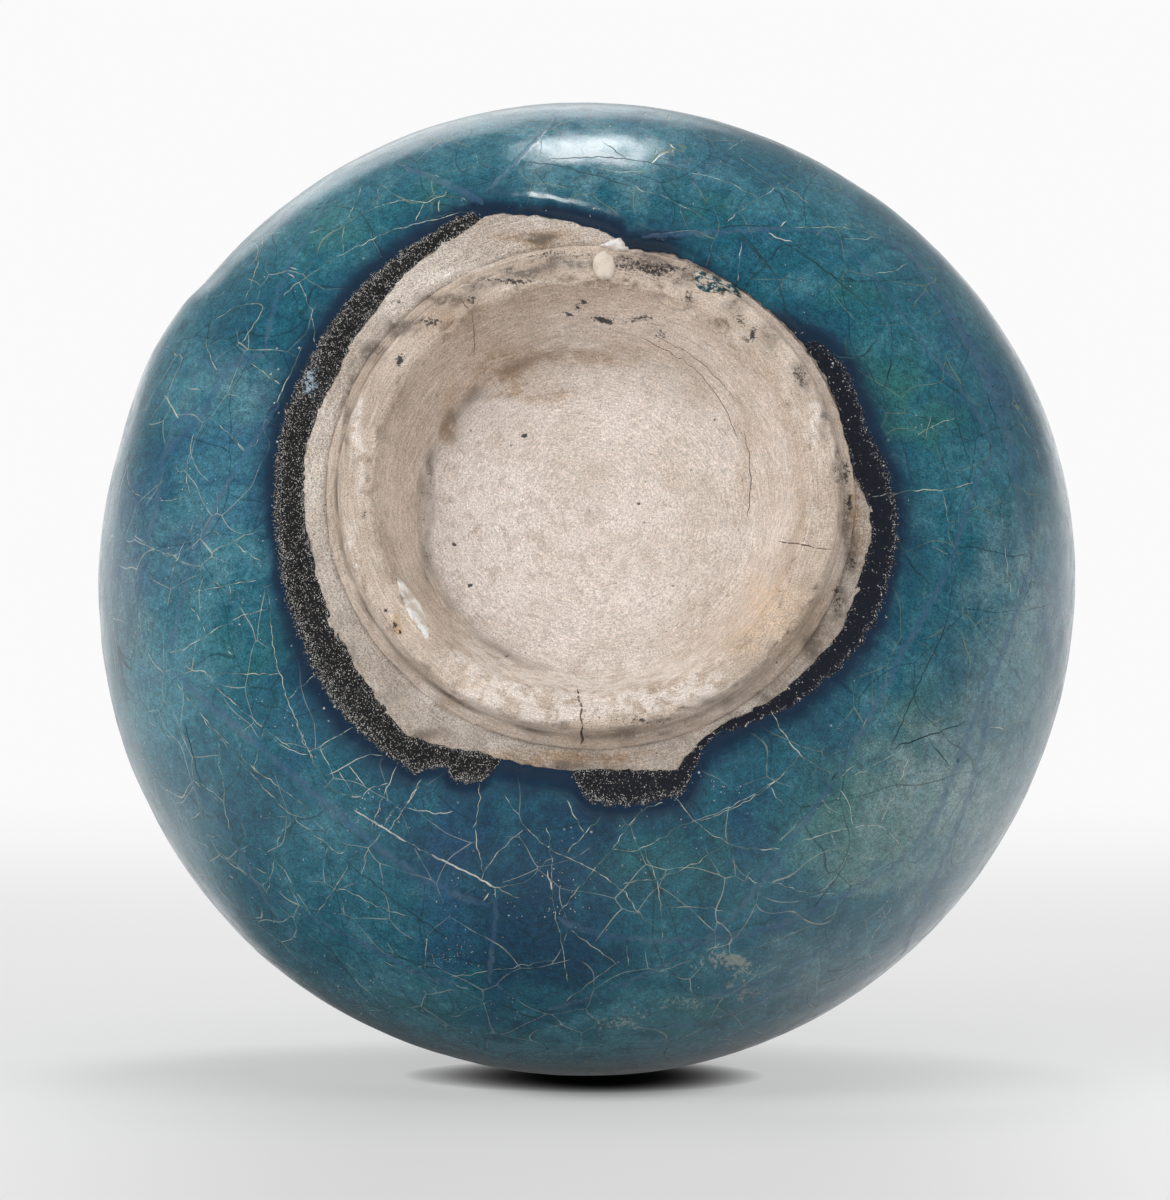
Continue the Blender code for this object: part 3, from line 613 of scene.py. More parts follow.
def body_round(start, end, flat, count=160):
    """Part of the body's round section between two angles from its axis, flattened towards the base."""
    turn = np.linspace(start, end, count + 1)
    drop = body_radius * np.cos(turn) - flat * np.cos(turn) ** 3
    return np.stack([body_radius * np.sin(turn), belly_height - drop], axis=-1)


lower = body_round(math.asin(ROOT_RADIUS / body_radius), math.pi / 2, flattening)
upper = body_round(math.pi / 2, SHOULDER_END, 0.0)
shoulder_way = (upper[-1] - upper[-2]) / np.linalg.norm(upper[-1] - upper[-2])
neck_start = np.array((NECK_RADIUS, NECK_START))
mouth = np.array((MOUTH_RADIUS, MOUTH_HEIGHT))
neck_length = MOUTH_HEIGHT - NECK_START
reach = SHOULDER_REACH * np.linalg.norm(neck_start - upper[-1])
flare = np.array((math.sin(FLARE_ANGLE), math.cos(FLARE_ANGLE)))
blend = bezier([upper[-1], upper[-1] + shoulder_way * reach, neck_start - (0, reach), neck_start])
neck_rise = (0, NECK_REACH * neck_length)
neck_line = bezier([neck_start, neck_start + neck_rise, mouth - flare * FLARE_REACH * neck_length, mouth])
face = evenly(np.concatenate([lower, upper[1:], blend[1:], neck_line[1:]]), FACE_STEP)
face_out = -outwards(face)
face_run = np.concatenate([[0], np.cumsum(np.linalg.norm(np.diff(face, axis=0), axis=1))])
belly_run = float(np.interp(belly_height, face[:, 1], face_run))
top_run = face_run[-1]


def face_way(run):
    """Unit (radius, height) steps out of the body's face, at distances up it from the foot."""
    return np.stack([np.interp(run, face_run, face_out[:, k]) for k in (0, 1)], axis=-1)


def face_at(run, depth=0.0):
    """(radius, height) on the body's face, at distances up it from the foot and at a depth under it."""
    place = np.stack([np.interp(run, face_run, face[:, k]) for k in (0, 1)], axis=-1)
    return place - face_way(run) * np.expand_dims(np.broadcast_to(depth, np.shape(run)), -1)


wall_runs = np.arange(-WALL_STEP, FLANGE, WALL_STEP)
wall_runs = np.concatenate([wall_runs, np.linspace(FLANGE, belly_run, WALL_ROWS)])
wall_line = face_at(np.maximum(wall_runs, 0), COAT)
sand = unevenness(around(wall_line, body_azimuths), WALL_SAND)
sand[wall_runs > FLANGE] = 0
sand -= 0.8 * MM * smooth(wall_runs, 1.4 * MM, 0)[:, None]
wall_rows = wall_line[:, None, :] + face_way(wall_runs)[:, None, :] * sand[..., None]
wall_rows[:1, :, 0] -= 0.7 * MM
wall_points = around(wall_rows, body_azimuths)
wall_back = around(face_at(np.linspace(belly_run, 0, WALL_ROWS), COAT + WALL), body_azimuths)
wall_rings = np.concatenate([wall_points, wall_back])[::-1]
body_wall = skin("body_wall", wall_rings)
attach(body_wall, "root")
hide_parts(*[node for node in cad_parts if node.startswith("wall_")])
wall_turns = np.arctan2(wall_points[..., 1], wall_points[..., 0])
# Dirt and painted shade: brown along the joint with the foot and on the flange's lower and right sides.
low_wall = smooth(np.sin(wall_turns), -0.1, 0.7) + 0.6 * smooth(np.cos(wall_turns), 0.4, 0.9)
wall_dirt_and_shade = 0.8 * smooth(wall_runs, 1.2 * MM, 0.2 * MM)[:, None] + 0.4 * low_wall
wall_dirt_and_shade = wall_dirt_and_shade * (0.8 + 0.3 * ripple(wall_points, 3 * MM, 24))
age(body_wall, wall_rings, np.concatenate([wall_dirt_and_shade, np.zeros(wall_back.shape[:2])])[::-1])
wall_paste, wall_colour, wall_bump = paste_finish("bare_wall_paste", WALL_PALE, WALL_DEEP, WALL_SANDINESS)
wall_paste.dress(body_wall, Base_Color=wall_colour, Roughness=0.95, Normal=wall_bump)

# Shoulder and neck. The upper half of the body and the thrown neck, luted on. Their stone-paste shows only
# inside the mouth, so the solids stay as they are.
wall_paste.dress(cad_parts["shoulder"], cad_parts["neck"])

# Glaze coat. Turquoise alkaline glaze over the whole outside, over the lip and a little way into the mouth.
# It ran and pooled dark above the foot, where its uneven edge is crusted with sand from the kiln.
GLAZE_EDGE = [
    (485, 217), (500, 214), (530, 216), (560, 220), (590, 228), (620, 240), (626, 250), (836, 440),
    (854, 475), (868, 505), (872, 530), (866, 555), (855, 590), (842, 630), (820, 655), (790, 685),
    (765, 703), (725, 722), (700, 740), (682, 762), (676, 770), (640, 770), (600, 769), (560, 770),
    (520, 763), (480, 752), (440, 745), (405, 735), (387, 711), (368, 684), (350, 655), (330, 615),
    (319, 580), (310, 545), (304, 510), (305, 485), (305, 455), (315, 420), (331, 388), (345, 358),
    (361, 330), (380, 306), (399, 281), (435, 250), (465, 232),
]
GRIT_EDGE = [
    (460, 219), (485, 211), (530, 212), (560, 216), (590, 223), (620, 235), (626, 246), (866, 434),
    (882, 462), (893, 500), (896, 530), (886, 585), (868, 632), (834, 672), (790, 706), (766, 716),
    (726, 734), (702, 752), (690, 778), (684, 793), (650, 801), (610, 805), (588, 800), (576, 782),
    (560, 775), (520, 768), (500, 766), (486, 780), (470, 784), (455, 780), (448, 768), (430, 767),
    (418, 774), (404, 764), (375, 743), (345, 714), (316, 669), (296, 620), (281, 560), (277, 500),
    (280, 450), (289, 412), (310, 366), (338, 319), (385, 268), (430, 238),
]
GLAZE_SWELL = [(0.30, 60, 35), (0.05, 9, 36), (0.018, 3, 37)]
GLAZE_ROWS = [(0, 6, 0.3), (6, 12, 0.6), (12, 100, 1.3)]
HIGH_ROWS_STEP = 3.0
SWELLINGS = [(340, 0.6), (290, 0.4), (260, 0.7), (135, 0.6), (18, -0.5)]
HIDDEN_EDGE = [
    (-72, 1.0, 1.6), (-58, 0.6, 1.0), (-45, 0.6, 1.0), (-41, 0.8, 1.6), (-37, 0.8, 2.6), (-33, 0.9, 4.0),
    (-28, 1.0, 5.2),
]


def wall_spots(pixels, depth=0.0):
    """(azimuth, run) on the body where lines of sight through pixels meet its face, or a face under it."""
    lines = sight_lines(pixels)
    steps = np.linspace(CAMERA_DISTANCE - 1.1 * body_radius, CAMERA_DISTANCE + 0.3 * body_radius, 700)
    radii = face[:, 0] - depth * face_out[:, 0]
    heights = face[:, 1] - depth * face_out[:, 1]

    def gap(along):
        points = np.array(eye) + lines[:, None, :] * along[..., None]
        inside = np.interp(points[..., 2], heights, radii, left=-1, right=-1)
        return np.hypot(points[..., 0], points[..., 1]) - inside

    gaps = gap(np.broadcast_to(steps, (len(lines), len(steps))))
    first = np.where((gaps < 0).any(axis=1), np.argmax(gaps < 0, axis=1), np.argmin(gaps, axis=1))
    near, far = steps[np.maximum(first - 1, 0)], steps[first]
    for _ in range(20):
        middle = (near + far) / 2
        hit = gap(middle[:, None])[:, 0] < 0
        near, far = np.where(hit, near, middle), np.where(hit, middle, far)
    points = np.array(eye) + lines * far[:, None]
    return np.arctan2(points[:, 1], points[:, 0]), np.interp(points[:, 2], heights, face_run)


def edge_line(pixels, hidden_runs):
    """A line round the body, as the pixels show it and as guessed where the foot hides it."""
    turns, runs = wall_spots(pixels, COAT)
    turns = np.append(turns, [math.radians(turn) for turn, _, _ in HIDDEN_EDGE])
    runs = np.append(runs, [run * MM for run in hidden_runs])
    order = np.argsort(turns)

    def run_at(azimuth):
        return np.interp(azimuth, turns[order], runs[order], period=2 * math.pi)

    return run_at


bare_line = edge_line(GLAZE_EDGE, [bare_run for _, bare_run, _ in HIDDEN_EDGE])
grit_line = edge_line(GRIT_EDGE, [grit_run for _, _, grit_run in HIDDEN_EDGE])


def ragged(line, azimuth, size, seed):
    """How far up the face a line runs, with a ragged edge."""
    circle = np.stack([np.cos(azimuth), np.sin(azimuth)], axis=-1) * ROOT_RADIUS
    return line(azimuth) + size * (ripple(circle, 1.5 * MM, seed) + 0.7 * ripple(circle, 0.6 * MM, seed + 1))


def glaze_start(azimuth):
    """How far up the face the glaze starts."""
    return ragged(bare_line, azimuth, 0.16 * MM, 31)


def grit_end(azimuth):
    """How far up the face the sandy crust ends."""
    return np.maximum(ragged(grit_line, azimuth, 0.20 * MM, 33), glaze_start(azimuth) + 0.3 * MM)


def swung(flat, azimuth):
    """Points of (radius, height), each turned to its own azimuth."""
    return np.stack([flat[..., 0] * np.cos(azimuth), flat[..., 0] * np.sin(azimuth), flat[..., 1]], axis=-1)


def coat_at(azimuth, run):
    """Points on the glaze's uneven outer face."""
    azimuth = np.broadcast_to(azimuth, np.shape(run))
    points = swung(face_at(run), azimuth)
    over = run - glaze_start(azimuth)
    swell = unevenness(points, GLAZE_SWELL)
    turn = np.degrees(azimuth) % 360
    proud = 1.1 * smooth(turn, 217, 212) * smooth(turn, 194, 208)
    proud = proud - 0.2 * smooth(turn, 160, 180) * smooth(turn, 208, 190)
    for middle, rise in SWELLINGS:
        proud = proud + rise * np.exp(-((((turn - middle + 180) % 360 - 180) / 24) ** 2))
    swell = swell + MM * proud * smooth(run, 30 * MM, 70 * MM) * smooth(run, 160 * MM, 115 * MM)
    crusted = grit_end(azimuth) - glaze_start(azimuth)
    pool = 0.14 * MM * np.exp(-(((over - crusted - 2.6 * MM) / (2.2 * MM)) ** 2))
    rolled = smooth(turn, 250, 260) * smooth(turn, 292, 282) + smooth(turn, 308, 316) * smooth(turn, 338, 330)
    pool = pool + 0.44 * MM * rolled * np.exp(-(((over - crusted - 1.3 * MM) / (1.9 * MM)) ** 2))
    crust = 0.07 * MM * ripple(points, 0.7 * MM, 38) * smooth(over, crusted + 0.4 * MM, crusted)
    depth = 0.92 * COAT * (1 - smooth(over, -0.5 * MM, crusted + 2.2 * MM))
    depth = depth - swell * smooth(over, 0, 4 * MM) - pool * smooth(over, 0, 1.2 * MM)
    return swung(face_at(run, depth - crust), azimuth)


edge = glaze_start(body_azimuths)
high_rows = np.arange(GLAZE_ROWS[-1][1], top_run / MM - 1, HIGH_ROWS_STEP)
base_runs = np.concatenate([np.arange(*rows) for rows in GLAZE_ROWS] + [high_rows, [top_run / MM]]) * MM
hold = np.maximum(1 - base_runs / (60 * MM), 0)
glaze_runs = np.minimum(base_runs[:, None] + edge[None, :] * hold[:, None], top_run)
glaze_points = coat_at(body_azimuths, glaze_runs)
lip_radius = (NECK_WALL + 2 * COAT) / 2
lip_out = np.array((math.cos(FLARE_ANGLE), -math.sin(FLARE_ANGLE)))
lip_turns = np.linspace(0, math.pi, 16)[1:-1, None]
lip = mouth - lip_out * lip_radius + (lip_out * np.cos(lip_turns) + flare * np.sin(lip_turns)) * lip_radius
throat = face_at(np.arange(top_run, top_run - 25 * MM, -2.2 * MM), 2 * lip_radius)
throat_back = face_at(np.linspace(top_run - 24 * MM, top_run, 6), COAT + NECK_WALL - 0.4 * MM)
coat_back = face_at(np.linspace(top_run, 20 * MM, 26), COAT + 0.4 * MM)
edge_back = face_at(np.maximum(edge[None, :] + np.array((8, 2.5, 0.3))[:, None] * MM, 0), COAT + 0.4 * MM)
hidden_rows = [around(line, body_azimuths) for line in (lip, throat, throat_back, coat_back, edge_back)]
glaze_rings = np.concatenate([glaze_points] + hidden_rows)[::-1]
glaze = skin("glaze_coat", glaze_rings)
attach(glaze, "root")
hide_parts(*[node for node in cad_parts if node.startswith("glaze_") and node != "glaze_splash"])

# Pale washes on the glaze: some paler glaze, most painted light, as floor bounce along the bottom and glow at
# the edges.
PALE_AND_LIT_PLACES = [
    (830, 190, 60, 60, 0.5), (587, 130, 150, 25, 0.6), (340, 190, 60, 60, 0.5), (185, 360, 40, 70, 0.6),
    (587, 1050, 170, 25, 0.9), (370, 965, 60, 60, 0.6), (170, 700, 40, 70, 0.4), (190, 560, 60, 130, 0.6),
    (240, 500, 40, 60, 0.5), (255, 440, 30, 40, 0.5), (860, 690, 60, 60, 0.25), (910, 790, 60, 50, 0.4),
    (1010, 650, 46, 120, 0.5), (840, 850, 90, 50, 0.5), (300, 250, 60, 60, 0.35), (560, 170, 120, 30, 0.35),
    (960, 480, 50, 60, 0.4), (700, 960, 60, 30, 0.4), (330, 820, 30, 24, 0.6), (640, 1010, 80, 24, 0.5),
    (150, 700, 30, 60, 0.4),
]
GREEN_PLACES = [
    (860, 830, 70, 60, 0.9), (930, 740, 60, 70, 0.6), (880, 390, 40, 60, 0.7), (930, 420, 50, 40, 0.6),
    (330, 230, 60, 50, 0.5), (440, 200, 40, 30, 0.5), (700, 205, 60, 20, 0.5), (720, 870, 80, 50, 0.4),
    (240, 660, 60, 60, 0.3), (700, 1010, 60, 24, 0.5), (300, 640, 30, 60, 0.3), (430, 1000, 60, 24, 0.5),
    (850, 300, 40, 30, 0.4), (620, 850, 80, 40, 0.3),
]
# Dark washes on the glaze: some darker glaze, and painted shade on the lower body, which faces the shadowed
# floor.
DARK_AND_SHADED_PLACES = [
    (520, 960, 50, 60, 0.9), (590, 960, 60, 50, 0.8), (560, 830, 60, 40, 0.6), (839, 734, 30, 30, 0.6),
    (700, 300, 60, 40, 0.5), (800, 330, 40, 40, 0.5), (260, 800, 50, 60, 0.4), (770, 790, 40, 40, 0.5),
    (480, 860, 60, 40, 0.5), (800, 920, 40, 20, 0.5), (230, 330, 40, 40, 0.3), (441, 835, 60, 42, 0.9),
    (732, 835, 50, 42, 0.9), (587, 870, 80, 42, 0.7),
]
# Painted reflection: grey washes along the left and right edges and the lower right, where the glaze mirrors
# the floor and backdrop.
REFLECTION_PLACES = [
    (940, 792, 80, 60, 0.5), (985, 820, 50, 60, 0.4), (1000, 700, 50, 90, 0.3), (1035, 600, 30, 80, 0.35),
    (880, 860, 60, 40, 0.35), (813, 970, 60, 40, 0.35), (905, 775, 36, 36, 0.2), (1010, 588, 34, 60, 0.2),
    (120, 600, 26, 90, 0.3), (235, 385, 40, 30, 0.25), (190, 560, 40, 60, 0.15), (180, 830, 30, 40, 0.2),
    (587, 180, 70, 20, 0.2),
]
RUBBED_PLACES = [
    (777, 921, 18, 7, 0.6), (841, 944, 15, 6, 0.6), (740, 965, 20, 12, 0.6), (745, 994, 26, 17, 0.65),
    (799, 973, 16, 8, 0.6), (888, 915, 14, 16, 0.5), (713, 962, 46, 8, 0.55), (690, 1004, 24, 10, 0.6),
    (616, 1026, 26, 11, 0.65), (640, 1010, 40, 16, 0.4),
]
FROSTED_PLACES = [
    (312, 380, 12, 25, 0.75), (690, 805, 30, 8, 0.4), (250, 612, 12, 22, 0.4), (240, 580, 10, 14, 0.4),
]
CLEAR_PLACES = [
    (906, 588, 12, 50, 0.3), (560, 198, 80, 12, 0.5), (258, 590, 14, 60, 0.4), (762, 286, 40, 30, 1.0),
    (730, 262, 40, 20, 0.6), (700, 250, 30, 14, 0.4),
]
DEEP_TEAL = (0.0044, 0.043, 0.085)
TEAL = (0.0115, 0.092, 0.133)
PALE_TEAL = (0.047, 0.170, 0.217)
GREEN = (0.026, 0.122, 0.108)
BLUE = (0.010, 0.058, 0.132)
REFLECTION_GREY = (0.21, 0.29, 0.30)
SPECK_DEEP = (0.004, 0.034, 0.056)
SPECK_PALE = (0.11, 0.22, 0.24)
CRACK_DEEP = (0.004, 0.022, 0.030)
CRAZE_WHITE = (0.40, 0.42, 0.36)
CRAZE_OLIVE = (0.17, 0.205, 0.12)
RUBBED_TAN = (0.34, 0.34, 0.28)
POOL_NAVY = (0.0085, 0.0135, 0.028)
POOL_BLUE = (0.0060, 0.026, 0.058)
CRUST_LEFT = (0.0095, 0.0095, 0.0105)
CRUST_RIGHT = (0.0065, 0.0085, 0.017)
GRAIN_PALE = (0.62, 0.60, 0.56)
FROST_BLUE = (0.36, 0.47, 0.55)
LOOSE_PALE = (0.50, 0.52, 0.50)
CRUMB = 0.23 * MM


def enamel(piece, points, runs):
    """Notes for the glaze's material: how far past the bare clay and the grit a point is, and its washes,
    painted light and shade among them.
    """
    turns = np.arctan2(points[..., 1], points[..., 0])
    start, end = glaze_start(turns), grit_end(turns)
    narrow = smooth(grit_line(turns) - bare_line(turns), 2.4 * MM, 1.4 * MM)
    note(piece, "grit", (runs - start) / (end - start) + 2 * narrow)
    note(piece, "past_grit", (runs - end) / MM + 8 * blots(points, CLEAR_PLACES))
    front = smooth(runs, belly_run + 12 * MM, belly_run - 4 * MM)
    washes = {"pale": PALE_AND_LIT_PLACES, "green": GREEN_PLACES, "dark": DARK_AND_SHADED_PLACES, "painted_reflection": REFLECTION_PLACES}
    for name, spots in washes.items():
        note(piece, name, blots(points, spots, 14) * front)
    note(piece, "rubbed", blots(points, RUBBED_PLACES, 4) * front)
    note(piece, "frost", blots(points, FROSTED_PLACES, 4) * front)


hidden_runs = np.interp(np.concatenate(hidden_rows)[..., 2], face[:, 1], face_run)
enamel(glaze, glaze_rings, np.concatenate([glaze_runs, hidden_runs])[::-1])


def enamel_finish(name):
    """The glaze: streaky, mottled turquoise with crazing, rubbed spots, a navy pool, a sandy crust and
    painted light, shade and reflection.
    """
    finish = Finish(name)
    place = finish.place()
    unit = finish.move("NORMALIZE", finish.move("MULTIPLY", place, (1, 1, 0)))
    height = finish.add("SeparateXYZ", place, out=2)
    along = finish.add("CombineXYZ", 0.0, 0.0, finish.times(height, 0.45))
    brushed = finish.move("ADD", finish.move("SCALE", unit, None, None, 60 * MM), along)
    streaks = finish.noise(brushed, 2.6 * MM, 5, 0.7, 0.4)
    broad = finish.noise(brushed, 11 * MM, 4, 0.65, 0.6)
    clouds = finish.noise(place, 26 * MM, 4, 0.6, 0.5)
    mottle = finish.noise(place, 4.5 * MM, 6, 0.72, 0.3)
    speck = finish.noise(place, 0.55 * MM, 2, 0.6)
    tone = finish.weigh((clouds, 0.8), (broad, 0.6), (streaks, 0.6), (mottle, 0.75), (speck, 0.25))
    # Pale and dark washes paint light and shade as well as paler and darker glaze.
    pale_and_lit_wash = finish.times(finish.noted("pale"), 0.42)
    dark_and_shade_wash = finish.times(finish.noted("dark"), -0.42)
    tone = finish.plus(tone, -0.175, pale_and_lit_wash, dark_and_shade_wash)
    colour = finish.mix(finish.spread(tone, 0.84, 1.32), DEEP_TEAL, TEAL)
    colour = finish.mix(finish.spread(tone, 1.26, 1.72), colour, PALE_TEAL)
    green = finish.weigh((finish.noted("green"), 0.7), (finish.noise(place, 16 * MM, 6, 0.75), 0.8))
    colour = finish.tint(colour, GREEN, green, 0.46, 1.05, 0.8)
    blue = finish.noise(brushed, 24 * MM, 5, 0.65)
    colour = finish.tint(colour, BLUE, blue, 0.52, 0.68, 0.6)
    # Painted reflection: grey laid where the glaze mirrors the floor and backdrop.
    painted_reflection = finish.times(finish.noted("painted_reflection"), finish.spread(finish.plus(mottle, streaks), 0.7, 1.3, 0.7, 1.3))
    colour = finish.mix(painted_reflection, colour, REFLECTION_GREY)
    fine = finish.noise(place, 1.3 * MM, 6, 0.8)
    colour = finish.mix(1.0, colour, finish.spread(fine, 0.28, 0.72, 0.62, 1.38), "MULTIPLY")
    dust = finish.noise(place, 0.33 * MM, 2, 0.75)
    colour = finish.mix(1.0, colour, finish.spread(dust, 0.30, 0.70, 0.66, 1.40), "MULTIPLY")
    colour = finish.tint(colour, SPECK_DEEP, speck, 0.38, 0.26, 0.5)
    colour = finish.tint(colour, SPECK_PALE, speck, 0.66, 0.76, 0.35)
    bent = finish.add("TexNoise", place, None, 1 / (32 * MM), 2.0, 0.5, out=1)
    bent = finish.move("MULTIPLY_ADD", bent, (22 * MM, 22 * MM, 22 * MM), place)
    fading = finish.noise(place, 9 * MM, 3, 0.6)
    crazed = finish.spread(finish.cells(bent, 14 * MM, "DISTANCE_TO_EDGE"), 0.0068, 0.0025)
    crazed = finish.times(crazed, finish.spread(fading, 0.41, 0.60))
    elsewhere = finish.move("ADD", bent, (0.3, 0.1, 0.2))
    cracked = finish.spread(finish.cells(elsewhere, 24 * MM, "DISTANCE_TO_EDGE"), 0.0065, 0.0025)
    colour = finish.mix(finish.times(cracked, 0.55), colour, CRACK_DEEP)
    upward = finish.spread(finish.move("DOT_PRODUCT", place, (0.7, -0.7, 0), out=1), -45 * MM, 25 * MM)
    colour = finish.mix(finish.times(crazed, 0.75), colour, finish.mix(upward, CRAZE_WHITE, CRAZE_OLIVE))
    scuffs = finish.noise(brushed, 0.55 * MM, 4, 0.8)
    rubbed = finish.plus(finish.noted("rubbed"), finish.times(scuffs, 2.4), -1.2)
    rubbed = finish.spread(rubbed, 0.56, 0.86, 0.0, 0.6)
    colour = finish.mix(rubbed, colour, RUBBED_TAN)
    past = finish.noted("past_grit")
    pool = finish.plus(past, finish.times(mottle, 2.4), finish.times(clouds, 3.0))
    colour = finish.mix(finish.spread(pool, 3.6, 7.0, 0.95, 0.0), colour, POOL_NAVY)
    colour = finish.mix(finish.spread(pool, 4.6, 12.0, 0.55, 0.0), colour, POOL_BLUE)
    grit = finish.noted("grit")
    rightward = finish.spread(finish.add("SeparateXYZ", place), -20 * MM, 40 * MM)
    crumbs = finish.cells(place, CRUMB)
    sown = finish.plus(finish.cells(place, CRUMB, out=1), finish.times(rightward, -0.30))
    sown = finish.plus(sown, finish.spread(grit, 0.22, 0.04, -0.02, 0.24))
    sown = finish.plus(sown, finish.times(finish.spread(grit, 0.60, 0.95), 0.36))
    sown = finish.plus(sown, finish.times(finish.noise(place, 2.5 * MM, 4, 0.7), 0.5))
    grains_seen = finish.times(finish.spread(sown, 0.80, 0.96), finish.spread(crumbs, 0.50, 0.32))
    dulled = finish.spread(finish.noise(place, 0.9 * MM, 2), 0.30, 0.62, 0.25, 1.0)
    grains_seen = finish.times(grains_seen, dulled)
    crust = finish.mix(grains_seen, finish.mix(rightward, CRUST_LEFT, CRUST_RIGHT), GRAIN_PALE)
    uneven = finish.times(finish.plus(speck, -0.5), 0.5)
    crusted = finish.spread(finish.plus(grit, uneven), 0.96, 1.04, 1.0, 0.0)
    colour = finish.mix(crusted, colour, crust)
    frost = finish.plus(finish.noted("frost"), finish.times(finish.noise(place, 0.9 * MM, 4, 0.8), 2.2), -1.1)
    colour = finish.tint(colour, FROST_BLUE, frost, 0.56, 0.86, 0.8)
    loose = finish.spread(finish.cells(place, 2.6 * MM), 0.12, 0.05)
    loose = finish.times(finish.spread(past, 0.0, 16.0, 1.0, 0.25), loose)
    loose = finish.times(loose, finish.spread(finish.noise(place, 14 * MM, 2), 0.50, 0.60))
    colour = finish.mix(finish.times(loose, 0.8), colour, LOOSE_PALE)
    rough = finish.spread(mottle, 0.35, 0.70, 0.12, 0.28)
    crust_rough = finish.times(crusted, finish.spread(rightward, 0.0, 1.0, 0.75, 0.3))
    rough = finish.plus(rough, crust_rough, finish.times(loose, 0.5), finish.times(rubbed, 0.5))
    gritty = finish.times(crusted, grains_seen)
    relief = finish.weigh(
        (mottle, 0.4), (streaks, 0.25), (speck, 0.06), (gritty, 1.2), (loose, 0.5), (crazed, -0.4),
    )
    return finish, colour, rough, finish.bump(relief, 0.09 * MM, 0.8)


turquoise, enamel_colour, enamel_rough, enamel_bump = enamel_finish("turquoise_glaze")
turquoise.dress(glaze, Base_Color=enamel_colour, Roughness=enamel_rough, Normal=enamel_bump, IOR=1.5)

# Sand grains. Kiln sand caught in the glaze's edge, and chips of white grit and plaster scattered on the
# glaze. Each is a small sharp lump, half sunk in the glaze.
GRAIN_COUNT = 1500
DARK_SHARE = 0.7
FIELD_SPREAD = 0.6
PALE_GRAIN_DEEP = (0.30, 0.28, 0.25)
DARK_GRAIN = (0.03, 0.03, 0.032)
DARK_GRAIN_DEEP = (0.006, 0.007, 0.009)
SPECK_FIELDS = [
    (368, 812, 30, 22, 60), (300, 900, 70, 60, 60), (345, 980, 50, 24, 40), (455, 955, 24, 14, 50),
    (215, 580, 50, 60, 40), (250, 610, 20, 30, 30), (190, 480, 40, 50, 24), (500, 900, 90, 40, 50),
    (640, 830, 80, 30, 24), (700, 790, 40, 12, 30), (820, 810, 20, 18, 24), (860, 740, 40, 30, 16),
    (480, 1010, 60, 14, 30), (560, 890, 24, 30, 40), (300, 260, 60, 50, 16), (880, 620, 40, 80, 14),
    (820, 300, 60, 50, 12), (600, 200, 120, 30, 12), (250, 700, 60, 40, 30), (740, 990, 50, 24, 40),
]


def grains(name, points, sizes, seed):
    """Sharp eight-sided lumps at points, in one closed mesh."""
    draw = np.random.default_rng(seed)
    count = len(points)
    turned = draw.normal(size=(count, 3, 3))
    axes = np.linalg.qr(turned)[0]
    axes *= np.sign(np.linalg.det(axes))[:, None, None]
    arms = axes * (sizes[:, None] * draw.uniform(0.6, 1.4, (count, 3)))[..., None]
    tips = np.stack([arms, -arms], axis=2).reshape(count, 6, 3) + points[:, None, :]
    sides = [(0, 2, 4), (2, 1, 4), (1, 3, 4), (3, 0, 4), (2, 0, 5), (1, 2, 5), (3, 1, 5), (0, 3, 5)]
    faces = (np.array(sides)[None] + 6 * np.arange(count)[:, None, None]).reshape(-1, 3)
    return new_piece(name, tips.reshape(-1, 3).tolist(), faces.tolist())


def tree_of(*pieces):
    """The faces of pieces, ready to be met by lines of sight."""
    points, sides = [], []
    for piece in pieces:
        first = len(points)
        points += [tuple(vertex.co) for vertex in piece.data.vertices]
        sides += [tuple(first + v for v in side.vertices) for side in piece.data.polygons]
    return BVHTree.FromPolygons(points, sides)


def sighted(tree, pixels):
    """Points and normals where lines of sight through pixels first meet a surface, for those that meet it."""
    points, normals = [], []
    for line in sight_lines(pixels):
        point, normal, _, _ = tree.ray_cast(eye, Vector(line))
        if point is not None:
            points.append(point)
            normals.append(normal if normal.dot(Vector(line)) < 0 else -normal)
    return np.array(points).reshape(-1, 3), np.array(normals).reshape(-1, 3)


glaze_tree = tree_of(glaze)
draw = np.random.default_rng(51)
grain_turns = draw.uniform(-math.pi, math.pi, GRAIN_COUNT)
crust_width = grit_end(grain_turns) - glaze_start(grain_turns)
keep = crust_width > draw.uniform(0.8, 4.0, GRAIN_COUNT) * MM
grain_turns, crust_width = grain_turns[keep], crust_width[keep]
grain_runs = glaze_start(grain_turns) + crust_width * draw.uniform(0.05, 1.05, len(grain_turns))
crumbs = coat_at(grain_turns, grain_runs)
is_dark = draw.uniform(size=len(crumbs)) < DARK_SHARE
speck_pixels = []
for x, y, wide, high, count in SPECK_FIELDS:
    across = draw.normal(x, wide * FIELD_SPREAD, count)
    down = draw.normal(y, high * FIELD_SPREAD, count)
    speck_pixels.append(np.stack([across, down], axis=-1))
speck_points, _ = sighted(glaze_tree, np.concatenate(speck_pixels))
pale_points = np.concatenate([crumbs[~is_dark], speck_points])
crumb_sizes = draw.uniform(0.09, 0.19, (~is_dark).sum())
speck_sizes = draw.uniform(0.08, 0.26, len(speck_points)) ** 1.3
pale_sand = grains("pale_sand", pale_points, np.append(crumb_sizes, speck_sizes) * MM, 52)
dark_sand = grains("dark_sand", crumbs[is_dark], draw.uniform(0.10, 0.22, is_dark.sum()) * MM, 53)
